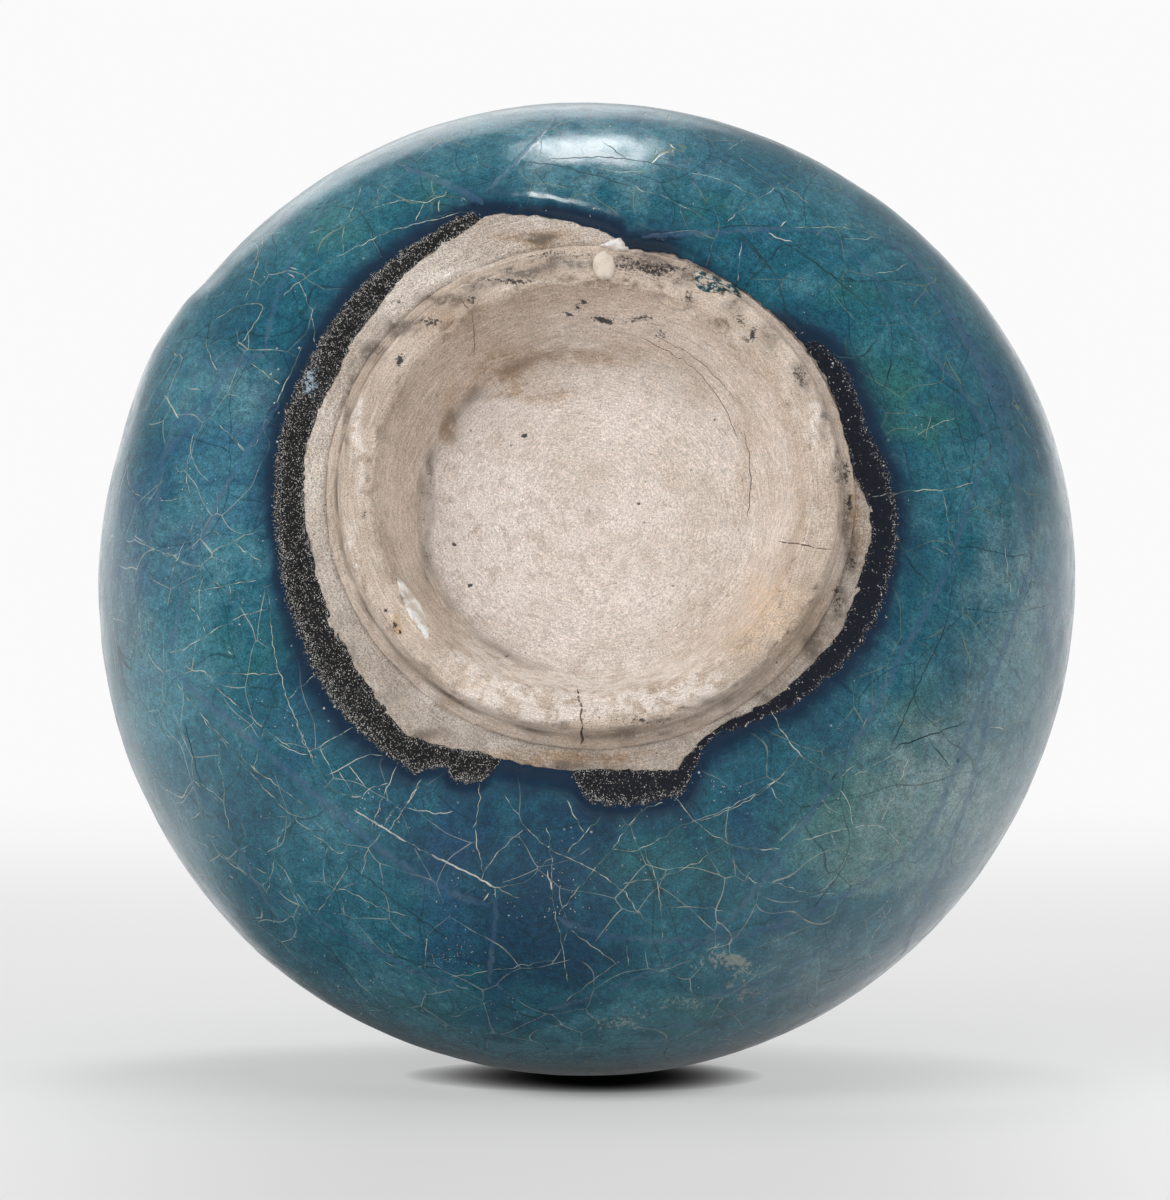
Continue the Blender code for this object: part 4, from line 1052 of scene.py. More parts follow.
for piece, light, deep in (
    (pale_sand, GRAIN_PALE, PALE_GRAIN_DEEP),
    (dark_sand, DARK_GRAIN, DARK_GRAIN_DEEP),
):
    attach(piece, "root")
    sand_finish = Finish(piece.name)
    varied = sand_finish.spread(sand_finish.noise(sand_finish.place(), 1.2 * MM), 0.35, 0.65)
    sand_finish.dress(piece, Base_Color=sand_finish.mix(varied, deep, light), Roughness=0.8)

# Crazing and cracks. Hairlines where the glaze has shrunk on the body, pale with old dirt or dark, and the
# breaks between sherds. Each is a fine tapering thread laid flush in the glaze along the line that shows.
PALE_HAIRLINES = [
    [(276, 302), (299, 281), (331, 261), (364, 242), (390, 231), (419, 223), (460, 213)],
    [(307, 233), (343, 225), (366, 211), (393, 201), (407, 199), (424, 203), (439, 199), (454, 185)],
    [(343, 253), (342, 238), (344, 225), (351, 215), (361, 187)], [(377, 207), (377, 191), (390, 172)],
    [(439, 199), (439, 213)], [(424, 203), (417, 216), (416, 222)],
    [(299, 281), (310, 305), (313, 322), (315, 342)],
    [(215, 320), (230, 310), (245, 303), (259, 304), (265, 308), (255, 324), (240, 343)],
    [(245, 302), (256, 271), (264, 235)], [(245, 356), (257, 368), (280, 385)],
    [(205, 338), (208, 349), (216, 371)], [(303, 347), (293, 368), (271, 414), (250, 453)],
    [(223, 427), (235, 441), (245, 451)], [(458, 190), (444, 179), (414, 167), (393, 164)],
    [(727, 223), (742, 208), (759, 199), (776, 187)], [(633, 187), (657, 194), (676, 202), (713, 223)],
    [(691, 172), (720, 179), (739, 187), (759, 198), (778, 216)], [(679, 205), (682, 216), (688, 230)],
    [(742, 242), (739, 259), (738, 281)], [(725, 154), (734, 145), (749, 137)],
    [(739, 158), (759, 170), (798, 195), (817, 212)], [(793, 227), (841, 227), (865, 231), (907, 247)],
    [(844, 238), (865, 239), (875, 236), (911, 252)], [(870, 274), (885, 273), (899, 269), (908, 263)],
    [(870, 498), (890, 494), (928, 489), (948, 491), (977, 481)],
    [(943, 492), (949, 522), (949, 538), (953, 548)], [(949, 522), (961, 521)],
    [(931, 545), (947, 556), (953, 548)], [(916, 639), (936, 656)],
    [(914, 439), (926, 429), (938, 423), (955, 418)], [(921, 445), (927, 432), (931, 415)],
    [(926, 439), (934, 438), (933, 424)], [(990, 478), (999, 502), (1004, 536), (1011, 596)],
    [(1023, 572), (1018, 594), (1013, 625), (1021, 671)], [(1016, 415), (1030, 439), (1040, 461)],
    [(973, 720), (987, 724), (1008, 730)], [(771, 710), (783, 734), (800, 755), (817, 766), (834, 773)],
    [(800, 755), (785, 773), (770, 787), (735, 808), (700, 822)], [(852, 777), (870, 768), (892, 755)],
    [(909, 757), (903, 776), (892, 800), (880, 824)], [(770, 787), (784, 805)], [(839, 778), (853, 766)],
    [(800, 842), (829, 833), (851, 828), (880, 824), (890, 834), (903, 848)],
    [(830, 833), (836, 844), (846, 853), (875, 860)], [(839, 788), (848, 800), (852, 815), (851, 828)],
    [(768, 882), (783, 885), (800, 892), (823, 894), (848, 856)], [(730, 845), (756, 850), (783, 848)],
    [(909, 856), (907, 875), (890, 909), (870, 940)], [(744, 953), (781, 938), (817, 924), (846, 908)],
    [(720, 942), (778, 926), (846, 893), (880, 878)], [(958, 817), (948, 836), (933, 856)],
    [(204, 720), (230, 750), (259, 783), (293, 818), (332, 848), (341, 857), (349, 844)],
    [(309, 805), (293, 819), (278, 838), (274, 858), (267, 895)],
    [(274, 859), (286, 873), (298, 895), (314, 918)], [(314, 918), (334, 890), (348, 865)],
    [(296, 722), (308, 752), (322, 776), (336, 794), (362, 796)], [(309, 752), (325, 743), (354, 727)],
    [(324, 776), (349, 764), (361, 756), (383, 755)], [(362, 796), (371, 787), (389, 783)],
    [(397, 766), (389, 783), (374, 819), (371, 834)], [(419, 785), (407, 805), (388, 831)],
    [(354, 810), (388, 831), (431, 855), (461, 869), (496, 888), (519, 899)],
    [(406, 808), (434, 814), (453, 812)], [(320, 747), (330, 766)], [(339, 771), (354, 795)],
    [(349, 765), (366, 788)], [(257, 722), (271, 737), (288, 750), (308, 756)],
    [(264, 730), (259, 747), (253, 772)], [(250, 766), (274, 783), (305, 806)],
    [(213, 742), (213, 752), (223, 778), (225, 795), (223, 802), (230, 831)],
    [(219, 742), (221, 757), (219, 766)], [(179, 768), (194, 782), (211, 791), (223, 802)],
    [(205, 835), (216, 836), (230, 833)], [(196, 841), (216, 852), (235, 861), (267, 873)],
    [(225, 855), (252, 880)], [(187, 819), (196, 817), (204, 807)], [(148, 720), (162, 732), (182, 744)],
    [(381, 960), (402, 970), (424, 977), (470, 989)], [(361, 875), (368, 857)],
    [(337, 887), (351, 892), (385, 911), (419, 918)], [(388, 941), (394, 958)], [(427, 928), (425, 970)],
    [(354, 978), (371, 994), (381, 1002), (383, 1014)],
    [(194, 433), (185, 475), (196, 519), (225, 538), (261, 561)], [(130, 490), (149, 501), (185, 498)],
    [(196, 519), (177, 555), (167, 589)], [(130, 533), (155, 550), (176, 558)], [(219, 424), (245, 451)],
    [(183, 594), (213, 588), (258, 580)], [(183, 596), (201, 621), (206, 633)],
    [(170, 652), (183, 651), (206, 635), (245, 613), (269, 610)],
    [(185, 652), (186, 671), (230, 674), (279, 674)], [(204, 673), (225, 696), (261, 726), (291, 749)],
    [(177, 684), (204, 718), (235, 751), (264, 778)],
    [(268, 587), (271, 633), (281, 684), (303, 739), (319, 773)], [(288, 699), (315, 674)],
    [(229, 579), (230, 605)], [(148, 611), (149, 633)], [(495, 888), (495, 901), (487, 905)],
    [(496, 888), (530, 882), (543, 863), (554, 857)], [(479, 880), (499, 850), (524, 829)],
    [(474, 829), (479, 858), (484, 873)], [(479, 783), (480, 804), (474, 829)],
    [(504, 795), (524, 825), (541, 844), (579, 863), (604, 876), (625, 892), (639, 916), (661, 931)],
    [(567, 852), (584, 835), (601, 816)], [(567, 800), (579, 824), (585, 833)],
    [(663, 802), (639, 810), (621, 839), (590, 874), (558, 914)],
    [(612, 849), (635, 852), (659, 840), (681, 825), (713, 815), (749, 798), (779, 778)],
    [(674, 795), (695, 822), (718, 839), (747, 850), (778, 850)],
    [(731, 846), (728, 857), (744, 876), (761, 885)], [(644, 850), (655, 875), (662, 904), (662, 941)],
    [(658, 880), (693, 865), (725, 844)], [(664, 908), (705, 906), (735, 914)],
    [(623, 885), (633, 880), (658, 879)],
    [(547, 827), (553, 858), (550, 887), (556, 916), (565, 962), (567, 983)],
    [(558, 919), (579, 936), (618, 965)], [(619, 961), (589, 984), (560, 1005)],
    [(567, 1007), (642, 978), (696, 959), (722, 941)], [(592, 937), (662, 942), (703, 941), (779, 926)],
    [(627, 944), (628, 967)], [(493, 1000), (465, 1011), (453, 1017)], [(451, 977), (509, 968), (558, 959)],
    [(406, 805), (422, 779)],
]
BOLD_HAIRLINES = [
    [(289, 266), (297, 270)], [(286, 273), (295, 278)], [(164, 395), (171, 405), (178, 419)],
    [(190, 389), (200, 389)], [(768, 233), (781, 239), (793, 242)], [(779, 227), (787, 221)],
    [(354, 810), (388, 831), (407, 842)], [(362, 796), (350, 797)], [(431, 855), (461, 869), (496, 888)],
    [(547, 870), (552, 890)], [(868, 717), (862, 728)], [(228, 651), (232, 655)], [(483, 902), (489, 893)],
    [(233, 879), (229, 875)],
]
DARK_HAIRLINES = [
    [(332, 199), (313, 221), (288, 267), (274, 305), (265, 356)], [(228, 368), (208, 410), (194, 434)],
    [(485, 196), (519, 155), (538, 138)], [(519, 161), (560, 165), (606, 178), (633, 187)],
    [(545, 160), (606, 156), (659, 164), (691, 172)], [(601, 141), (616, 151), (629, 161)],
    [(415, 223), (448, 213), (478, 211)],
    [(640, 234), (671, 240), (715, 229), (734, 225), (778, 227), (827, 234), (856, 257), (885, 288),
        (916, 339), (954, 385)],
    [(954, 385), (953, 402), (962, 444), (978, 478)], [(707, 238), (709, 250), (716, 274)],
    [(737, 230), (764, 262), (780, 279)], [(766, 235), (793, 247), (831, 274), (865, 305), (885, 325)],
    [(870, 276), (887, 310), (894, 344), (887, 383), (878, 397)],
    [(894, 351), (928, 371), (972, 402), (989, 434), (991, 456)], [(894, 332), (911, 337), (926, 349)],
    [(800, 341), (834, 356), (863, 360), (880, 333)], [(863, 362), (885, 397), (907, 458), (913, 487)],
    [(737, 235), (773, 267), (785, 305), (793, 334)], [(778, 187), (784, 201), (790, 218)],
    [(907, 264), (943, 308), (972, 344), (999, 390), (1008, 412)], [(938, 444), (945, 465), (950, 487)],
    [(991, 456), (972, 492), (953, 543), (951, 567), (924, 608), (899, 659), (868, 717), (848, 751)],
    [(848, 751), (822, 802), (785, 848), (747, 899), (720, 933), (686, 953), (642, 977), (565, 1006)],
    [(894, 526), (909, 565), (933, 587)], [(953, 575), (948, 623), (928, 664), (907, 710), (891, 747)],
    [(891, 749), (938, 732), (973, 720)],
    [(1006, 465), (1025, 521), (1035, 575), (1013, 625), (989, 691), (953, 778)],
    [(341, 857), (390, 897), (444, 936), (473, 955)], [(267, 895), (271, 911), (275, 931)],
    [(267, 895), (313, 919), (361, 939), (407, 962), (460, 974)], [(314, 918), (334, 955), (354, 978)],
    [(230, 831), (250, 870), (254, 885)], [(184, 720), (199, 778), (206, 800)],
    [(381, 991), (419, 1006), (451, 1017)], [(279, 691), (262, 730), (258, 745)],
    [(405, 865), (434, 890), (465, 899), (487, 905)], [(493, 1000), (524, 1015), (579, 1033)],
    [(281, 400), (245, 451), (206, 521), (184, 589), (170, 652)],
    [(211, 400), (165, 448), (150, 536), (133, 601)], [(931, 742), (950, 768)],
    [(848, 856), (841, 873), (810, 911)],
]


STRAY_SIZE = 7.0


def curved(points, rounds=2):
    """A bent line with its corners cut."""
    points = np.array(points, float)
    for _ in range(rounds):
        before, after = points[:-1], points[1:]
        cut = np.stack([before * 0.75 + after * 0.25, before * 0.25 + after * 0.75], axis=1)
        points = np.concatenate([points[:1], cut.reshape(-1, points.shape[1]), points[-1:]])
    return points


def traced(tree, lines, step, half_width, lift, stray, taper):
    """Paths for ribbons along lines of pixels, straying a little and tapering to a point at both ends."""
    paths = []
    for number, line in enumerate(lines):
        pixels = evenly(curved(line), step)
        strays = [ripple(pixels, STRAY_SIZE, 60 + number), ripple(pixels, STRAY_SIZE, 360 + number)]
        pixels = pixels + stray * np.stack(strays, axis=-1)
        points, normals = sighted(tree, pixels)
        if len(points) < 4:
            continue
        ends = np.minimum(np.arange(len(points)), np.arange(len(points))[::-1]) / taper
        wide = half_width * np.minimum(ends, 1) ** 0.6 * (1 + 0.22 * ripple(points, 12 * MM, 61))
        paths.append((points, normals, wide, np.full(len(points), lift)))
    return paths


THREAD = [(-1, 0), (0, 1), (1, 0), (0, -1)]


def ribbons(name, paths, section):
    """A closed mesh of ribbons with pointed ends. A section is (across, up) in shares of width and lift."""
    vertices, faces, across = [], [], []
    size = len(section)
    for points, normals, wide, lift in paths:
        side = np.cross(normals, np.gradient(points, axis=0))
        side /= np.linalg.norm(side, axis=1, keepdims=True)
        rings = [points + side * (wide * a)[:, None] + normals * (lift * h)[:, None] for a, h in section]
        rings = np.stack(rings, axis=1)[1:-1]
        first = len(vertices)
        vertices += [points[0]] + list(rings.reshape(-1, 3)) + [points[-1]]
        across += [0.0] + [1 - abs(a) for a, _ in section] * len(rings) + [0.0]
        last = len(vertices) - 1
        for k in range(size):
            after = (k + 1) % size
            faces.append((first, first + 1 + k, first + 1 + after))
            faces.append((last, last - size + after, last - size + k))
            for i in range(len(rings) - 1):
                low = first + 1 + i * size
                faces.append((low + after, low + k, low + size + k, low + size + after))
    piece = new_piece(name, vertices, faces)
    piece.data.shade_smooth()
    piece.data.set_sharp_from_angle(angle=math.radians(60))
    note(piece, "across", np.array(across))
    return piece


def hairline_finish(name, strong, faint, size):
    """A hairline that comes and goes along its length."""
    finish = Finish(name)
    varied = finish.noise(finish.place(), size, 3, 0.7)
    finish.shader.inputs["Roughness"].default_value = 0.7
    colour = finish.mix(finish.spread(varied, 0.42, 0.62), faint, strong)
    finish.put(finish.shader.inputs["Base Color"], colour)
    return finish


# Each kind has its lines, its step along them in pixels, its half width and lift in millimetres, how far it
# strays in pixels, its taper, its strong and faint colours, and the size of their change in millimetres.
HAIRLINES = {
    "pale_crazing": (PALE_HAIRLINES, 2.2, 0.062, 0.016, 0.8, 2, (0.52, 0.52, 0.43), (0.07, 0.12, 0.10), 4),
    "white_scratches": (BOLD_HAIRLINES, 1.6, 0.14, 0.05, 0.5, 3, (0.56, 0.55, 0.49), (0.30, 0.32, 0.29), 2),
    "dark_cracks": (DARK_HAIRLINES, 2.2, 0.13, 0.02, 0.7, 6, (0.006, 0.022, 0.034), (0.016, 0.062, 0.078), 6),
}
for name, (lines, step, half_width, lift, stray, taper, strong, faint, size) in HAIRLINES.items():
    piece = ribbons(name, traced(glaze_tree, lines, step, half_width * MM, lift * MM, stray, taper), THREAD)
    hairline_finish(name, strong, faint, size * MM).dress(piece)
    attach(piece, "root")

# Overpaint. The mender's thin blue-grey paint along the breaks between sherds, brushed on in soft bands that
# fade into the glaze at their edges.
MENDS = [
    (1.0, [(332, 194), (298, 245), (284, 279), (271, 313), (265, 354)]),
    (2.2, [(265, 354), (225, 366), (206, 410), (187, 431), (162, 458)]),
    (1.3, [(211, 400), (177, 419), (165, 448), (158, 497), (143, 574), (133, 601)]),
    (1.1, [(281, 400), (259, 431), (225, 487), (194, 555), (177, 618), (170, 652)]),
    (1.5, [(174, 671), (201, 698), (254, 742), (291, 773), (334, 810), (383, 853), (431, 885), (492, 907)]),
    (1.2, [(267, 894), (313, 919), (390, 957), (424, 977), (460, 984)]),
    (1.2, [(184, 768), (201, 797), (240, 851), (267, 904), (313, 962)]),
    (1.4, [(555, 916), (589, 933), (642, 941), (715, 941), (780, 926), (817, 909), (856, 890), (909, 856)]),
    (2.0, [(909, 856), (928, 834), (943, 802), (953, 773), (972, 732)]),
    (1.0, [(545, 1011), (565, 1006), (642, 977), (686, 953), (739, 914), (783, 851), (836, 778)]),
    (1.3, [(836, 778), (865, 725), (899, 657), (926, 611), (950, 567), (967, 504), (994, 448)]),
    (1.0, [(994, 448), (974, 405), (914, 334), (875, 276), (834, 235), (788, 228), (720, 232), (640, 237)]),
    (2.0, [(875, 235), (911, 250), (953, 317), (985, 370), (1008, 430), (1023, 516), (1033, 557)]),
    (1.6, [(1033, 557), (1011, 630), (994, 674), (977, 710), (962, 751), (938, 810), (909, 856)]),
    (1.6, [(400, 165), (448, 184), (485, 205)]), (0.9, [(560, 115), (536, 140), (504, 174), (485, 194)]),
    (1.4, [(990, 700), (975, 780), (940, 870), (900, 960)]), (1.1, [(497, 894), (494, 930), (489, 985)]),
    (3.2, [(322, 806), (336, 812), (350, 816)]), (2.6, [(318, 800), (334, 812), (352, 822)]),
    (1.8, [(880, 225), (860, 205), (820, 180)]), (1.6, [(907, 300), (930, 292)]),
    (1.8, [(700, 1000), (770, 980), (850, 935)]), (1.4, [(640, 1030), (720, 1020), (800, 980)]),
]
PAINT_BLUE = (0.030, 0.085, 0.175)
PAINT_GREY = (0.070, 0.130, 0.185)
BAND = [(-1, -0.4), (-0.66, 0.4), (-0.25, 1), (0.25, 1), (0.66, 0.4), (1, -0.4), (0, -2)]
band_paths = []
for half_width, line in MENDS:
    band_paths += traced(glaze_tree, [line], 3.0, half_width * MM, 0.03 * MM, 1.0, 6)
overpaint = ribbons("overpaint", band_paths, BAND)
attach(overpaint, "root")
band_points = np.array([vertex.co for vertex in overpaint.data.vertices])
enamel(overpaint, band_points, np.interp(band_points[:, 2], face[:, 1], face_run))
brushed, paint_colour, paint_rough, paint_bump = enamel_finish("mender_overpaint")
paint_place = brushed.place()
paint_patch = brushed.noise(paint_place, 7 * MM, 4, 0.65)
painted = brushed.plus(brushed.noted("across"), brushed.times(paint_patch, 0.6))
painted = brushed.spread(painted, 0.42, 1.15, 0.0, 0.5)
paint_tint = brushed.mix(brushed.spread(paint_patch, 0.4, 0.62), PAINT_BLUE, PAINT_GREY)
paint_colour = brushed.mix(painted, paint_colour, paint_tint)
paint_rough = brushed.plus(paint_rough, brushed.times(painted, 0.25))
brushed.dress(overpaint, Base_Color=paint_colour, Roughness=paint_rough, Normal=paint_bump, IOR=1.5)

# Plaster and splash. A smooth cream drop on the rim, a white dab beside it, a white smear on the bevel, and a
# splash of glaze on the foot's outer edge. Each is a thin lump stuck to the stone-paste.
DROP = [(604, 251), (612, 255), (616, 264), (614, 275), (606, 281), (597, 279), (592, 268), (594, 256)]
DAB = [
    (612, 240), (622, 237), (629, 243), (630, 252), (622, 252), (612, 251), (604, 248), (597, 246),
    (604, 243),
]
SMEAR = [
    (396, 576), (405, 583), (413, 594), (421, 606), (427, 619), (430, 632), (428, 642), (422, 635),
    (416, 622), (409, 617), (403, 600), (397, 584),
]
SPLASH = [
    (692, 272), (700, 270), (712, 276), (728, 280), (738, 287), (745, 300), (736, 295), (726, 291),
    (714, 293), (702, 293), (695, 285),
]
LUMP_RINGS = [(0.7, -1.2), (1.0, -0.25), (0.94, 0.35), (0.8, 0.72), (0.6, 0.92), (0.35, 1.0), (0.12, 1.0)]
CREAM, CREAM_DEEP = (0.66, 0.575, 0.49), (0.55, 0.47, 0.39)
WHITE, WHITE_DEEP = (0.80, 0.79, 0.77), (0.55, 0.47, 0.40)
PLASTER_DIRT = (0.30, 0.25, 0.20)
SPLASH_DEEP, SPLASH_TEAL = (0.008, 0.030, 0.040), (0.030, 0.10, 0.11)
SPLASH_BARE = (0.50, 0.43, 0.36)
SPLASH_RED = (0.20, 0.05, 0.03)
clay_tree = tree_of(foot, base, body_wall)


def lump(name, outline, height, nodes, seed):
    """A thin lump with a round edge, laid on the bare clay inside an outline of pixels."""
    outline = np.array(outline + outline[:1], float)
    edge_pixels = evenly(curved(outline), 1.6)[:-1]
    wobble = [ripple(edge_pixels, 6.0, seed), ripple(edge_pixels, 6.0, seed + 1)]
    edge_pixels += 0.5 * np.stack(wobble, axis=-1)
    middle = edge_pixels.mean(axis=0)
    rings = []
    for share, rise in LUMP_RINGS:
        points, normals = sighted(clay_tree, middle + (edge_pixels - middle) * share)
        uneven = 1 + 0.15 * ripple(points, 1.5 * MM, seed + 2)
        rings.append(points + normals * (rise * height * uneven)[:, None])
    rings = np.array(rings)
    points, normals = sighted(clay_tree, [middle])
    piece = skin(name, rings, [points[0] - normals[0] * 1.2 * height, points[0] + normals[0] * height])
    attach(piece, "root")
    if nodes:
        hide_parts(*nodes)
    return piece


drop = lump("cream_drop", DROP, 0.9 * MM, ["plaster_drop"], 71)
dab = lump("plaster_dab", DAB, 0.8 * MM, [], 74)
smear = lump("plaster_streak", SMEAR, 0.30 * MM, ["plaster_smear"], 77)
splash = lump("splash_of_glaze", SPLASH, 0.35 * MM, ["glaze_splash"], 80)


def plaster_finish(name, pale, deep):
    """Matt plaster, cloudy and a little dirty."""
    finish = Finish(name)
    place = finish.place()
    soft = finish.noise(place, 2.5 * MM, 4, 0.6)
    fine = finish.noise(place, 0.4 * MM, 2, 0.6)
    colour = finish.mix(finish.spread(soft, 0.35, 0.6), deep, pale)
    colour = finish.tint(colour, PLASTER_DIRT, fine, 0.36, 0.28, 0.4)
    finish.put(finish.shader.inputs["Normal"], finish.bump(finish.plus(soft, fine), 0.06 * MM, 0.6))
    finish.put(finish.shader.inputs["Base Color"], colour)
    finish.shader.inputs["Roughness"].default_value = 0.7
    return finish


plaster_finish("cream_plaster", CREAM, CREAM_DEEP).dress(drop)
plaster_finish("white_plaster", WHITE, WHITE_DEEP).dress(dab, smear)
splashed = Finish("splashed_glaze")
splash_place = splashed.place()
splash_patch = splashed.noise(splash_place, 1.6 * MM, 4, 0.7)
splash_colour = splashed.mix(splashed.spread(splash_patch, 0.36, 0.52), SPLASH_DEEP, SPLASH_TEAL)
splash_colour = splashed.mix(splashed.spread(splash_patch, 0.49, 0.54), splash_colour, SPLASH_BARE)
red = splashed.noise(splash_place, 0.9 * MM, 2, 0.5)
splash_colour = splashed.tint(splash_colour, SPLASH_RED, red, 0.62, 0.70, 0.8)
splash_bump = splashed.bump(splash_patch, 0.15 * MM, 0.8)
splashed.dress(splash, Base_Color=splash_colour, Roughness=0.35, Normal=splash_bump)

# Foot cracks. Drying cracks that run across the foot ring, dark where they open. Each is a fine dark sliver
# laid flush in the clay.
FOOT_CRACKS = [
    (0.30, [(578, 688), (580, 705), (583, 722), (581, 746)]), (0.14, [(458, 297), (466, 305), (472, 312)]),
    (0.10, [(472, 312), (474, 335), (475, 358)]), (0.13, [(778, 541), (800, 544), (815, 548)]),
    (0.10, [(815, 548), (832, 549)]), (0.10, [(800, 544), (806, 536)]),
    (0.12, [(422, 565), (430, 585), (446, 612)]), (0.10, [(744, 430), (752, 470), (748, 520)]),
    (0.09, [(640, 338), (690, 362), (722, 400), (738, 440)]), (0.08, [(655, 336), (700, 358), (735, 400)]),
]
crack_paths = []
for half_width, line in FOOT_CRACKS:
    crack_paths += traced(clay_tree, [line], 1.6, half_width * MM, 0.03 * MM, 0.8, 5)
foot_cracks = ribbons("foot_cracks", crack_paths, THREAD)
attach(foot_cracks, "root")
hairline_finish("foot_cracks", (0.035, 0.024, 0.018), (0.16, 0.11, 0.08), 4 * MM).dress(foot_cracks)

# Stage. The plain pale floor that the flask lies on, touching the widest line, with the mouth end propped a
# little clear. It shows from the flask's side only, so a view from behind it isn't shut out.
# The camera and the gloss see it as an even glow with painted shadows under and in front of the flask and a
# little painted light on the right.
STAGE_HALF = 2.5
FLOOR_BEHIND = 1.4
FLOOR_GAP = 0.4 * MM
PAPER_WHITE = 0.86
LIE_ANGLE = CAMERA_TILT + math.radians(0.5)
floor_up = Vector((0, -math.cos(LIE_ANGLE), -math.sin(LIE_ANGLE)))
floor_along = Vector((0, -math.sin(LIE_ANGLE), math.cos(LIE_ANGLE)))
floor_point = Vector((0, 0, belly_height)) - floor_up * (body_radius + FLOOR_GAP)
corners = []
for along in (-STAGE_HALF, FLOOR_BEHIND):
    for side in (-STAGE_HALF, STAGE_HALF):
        corners.append(floor_point + Vector((side, 0, 0)) + floor_along * along)
stage = new_piece("stage_floor", corners, [(0, 1, 3, 2)])
paper = Finish("stage_paper")
rays = paper.tree.nodes.new("ShaderNodeLightPath").outputs
beyond = paper.move("DOT_PRODUCT", paper.place(), tuple(floor_along), out=1)
beyond = paper.plus(beyond, -floor_point.dot(floor_along))
aside = paper.move("DOT_PRODUCT", paper.place(), (1, 0, 0), out=1)


def oval(middle, wide, deep):
    """How far a place on the floor is from an oval's middle, in shares of its half width and depth."""
    across = paper.maths("POWER", paper.times(paper.plus(aside, -middle), 1 / wide), 2.0)
    return paper.maths("SQRT", paper.plus(across, paper.maths("POWER", paper.times(beyond, 1 / deep), 2.0)))


# Painted shade for the camera: darker in the nook against the flask, a painted contact shadow and a painted
# broad shadow under it.
painted_floor_shade = paper.add("AmbientOcclusion", (1, 1, 1), 0.007, out=1, samples=8)
painted_contact_shadow = paper.spread(oval(0.003, 0.024, 0.044), 0.40, 1.40)
painted_broad_shadow = paper.spread(oval(-0.012, 0.10, 0.075), 0.55, 1.25, 0.84, 1.0)
painted_floor_shade = paper.times(painted_floor_shade, painted_contact_shadow, painted_broad_shadow)
paper_colour = paper.mix(rays["Is Camera Ray"], (PAPER_WHITE,) * 3, paper.times(painted_floor_shade, PAPER_WHITE))
paper.dress(stage, Base_Color=paper_colour, Roughness=0.9)
# Painted shadow in front of the flask, a dimmer strip down the middle, and painted light on the right near
# the flask.
middle = paper.spread(paper.maths("ABSOLUTE", aside), 0.03, 0.13, 0.22, 0.0)
front = paper.times(paper.spread(beyond, 0.0, -0.10), middle)
tone = paper.plus(paper.spread(beyond, 0.0, 1.4, 0.80, 0.96), paper.times(front, -1.0))
right = paper.spread(aside, -0.12, 0.14, 0.0, 0.08)
tone = paper.plus(tone, paper.times(right, paper.spread(beyond, 0.2, -0.1)))
# Painted shadow for the gloss: the floor as the glaze mirrors it is dark under the flask and darker in front
# of it.
mirrored = paper.spread(oval(-0.04, 0.16, 0.16), 0.25, 1.0, 0.13, 0.78)
mirrored = paper.plus(mirrored, paper.spread(beyond, -0.05, -0.25, 0.0, -0.35))
glow = paper.add("MapRange", rays["Is Glossy Ray"], 0.0, 1.0, paper.times(painted_floor_shade, tone), mirrored)
white = paper.times(rays["Is Camera Ray"], paper.spread(beyond, 0.15, 0.95, 0.72, 1.0))
white = paper.maths("MAXIMUM", white, rays["Is Glossy Ray"])
shut = paper.add("NewGeometry", out=6)
lit = paper.add("MixShader", white, paper.shader.outputs[0], paper.add("Emission", (1, 1, 1), glow))
seen = paper.add("MixShader", shut, lit, paper.add("BsdfTransparent"))
paper.put(paper.tree.nodes["Material Output"].inputs[0], seen)


LIT_POINT = Vector((0, 0, 0.06))


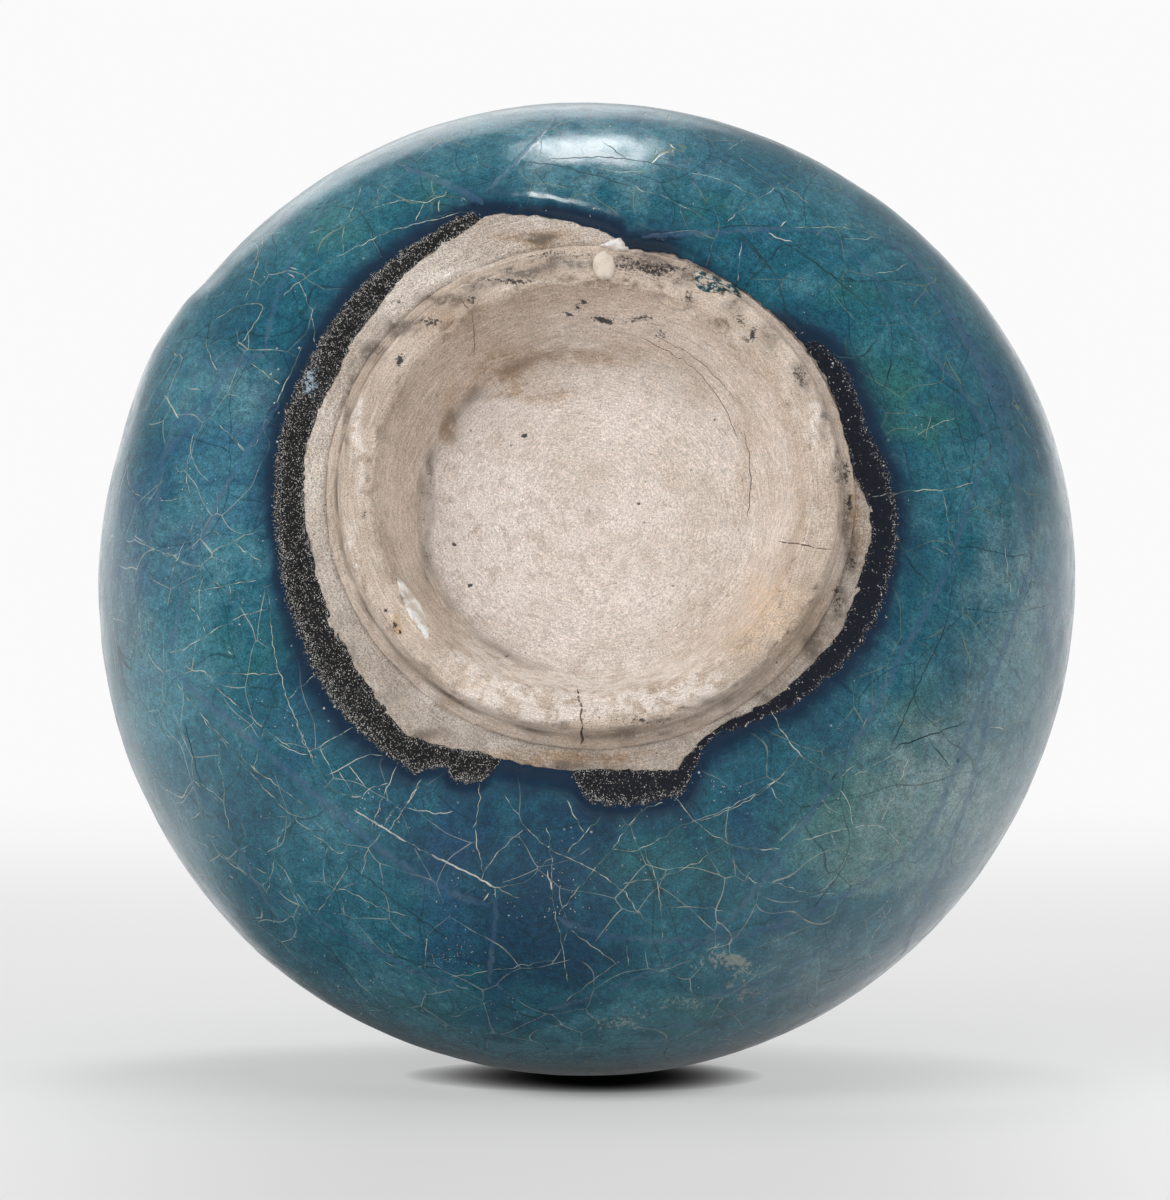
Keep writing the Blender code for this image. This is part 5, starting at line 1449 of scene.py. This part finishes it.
def lamp(name, way, distance, size, power, mirrored=False):
    """A soft panel light, mirrored in the gloss or not, at so far right, up and towards the camera."""
    side = Vector(sight_right) * way[0] + floor_up * way[1] + floor_along * -way[2]
    light = bpy.data.lights.new(name, "AREA")
    light.shape = "RECTANGLE"
    light.size, light.size_y = size
    light.energy = power
    item = bpy.data.objects.new(name, light)
    item.visible_glossy = mirrored
    scene.collection.objects.link(item)
    item.location = LIT_POINT + side.normalized() * distance
    item.rotation_euler = side.to_track_quat("Z", "Y").to_euler()


lamp("left_panel", (-0.75, 0.38, 0.55), 1.4, (0.9, 0.9), 10.0)
lamp("right_panel", (0.75, 0.30, 0.60), 1.4, (0.9, 0.9), 4.4)
lamp("front_panel", (0.0, 0.85, 0.55), 1.4, (0.9, 0.6), 5.0)
lamp("top_panel", (0.01, 0.96, -0.27), 1.2, (0.22, 0.44), 3.2, True)

# Studio. An even light all round for the matt surfaces. What the camera and the gloss see of it is the white
# backdrop behind the flask, brightest behind its left shoulder, and a dim room on the camera's side.
BACKDROP_WHITE = 0.96
studio = bpy.data.worlds.new("studio")
scene.world = studio
studio.use_nodes = True
room = Nodes(studio.node_tree)
ambient = room.tree.nodes["Background"]
ambient.inputs[0].default_value = (1, 1, 1, 1)
rays = room.tree.nodes.new("ShaderNodeLightPath").outputs
looking = room.add("TexCoord")
behind = room.move("DOT_PRODUCT", looking, tuple(forward), out=1)
window = (Vector(sight_right) * -0.14 + floor_up * 0.50 + floor_along * 0.85).normalized()
at_window = room.move("DOT_PRODUCT", looking, tuple(window), out=1)
above = room.move("DOT_PRODUCT", looking, tuple(floor_up), out=1)
skyline = room.times(room.spread(behind, 0.1, 0.9, 0.0, 0.60), room.spread(above, 0.26, 0.02))
overhead = room.times(room.spread(behind, 0.75, 0.97, 0.0, 0.30), room.spread(above, 0.0, 0.08))
overhead = room.times(overhead, room.spread(above, 0.40, 0.20))
bright = room.spread(at_window, 0.945, 0.985, 0.0, 1.25)
mirrored = room.plus(room.spread(behind, -0.4, 0.6, 0.16, 0.32), skyline, overhead, bright)
level = room.spread(above, -1.0, 1.0, 0.17, 0.43)
level = room.add("MapRange", rays["Is Glossy Ray"], 0.0, 1.0, level, mirrored)
for ray in ("Is Transmission Ray", "Is Camera Ray"):
    level = room.add("MapRange", rays[ray], 0.0, 1.0, level, BACKDROP_WHITE)
room.put(ambient.inputs[1], level)

scene.view_settings.view_transform = "Standard"
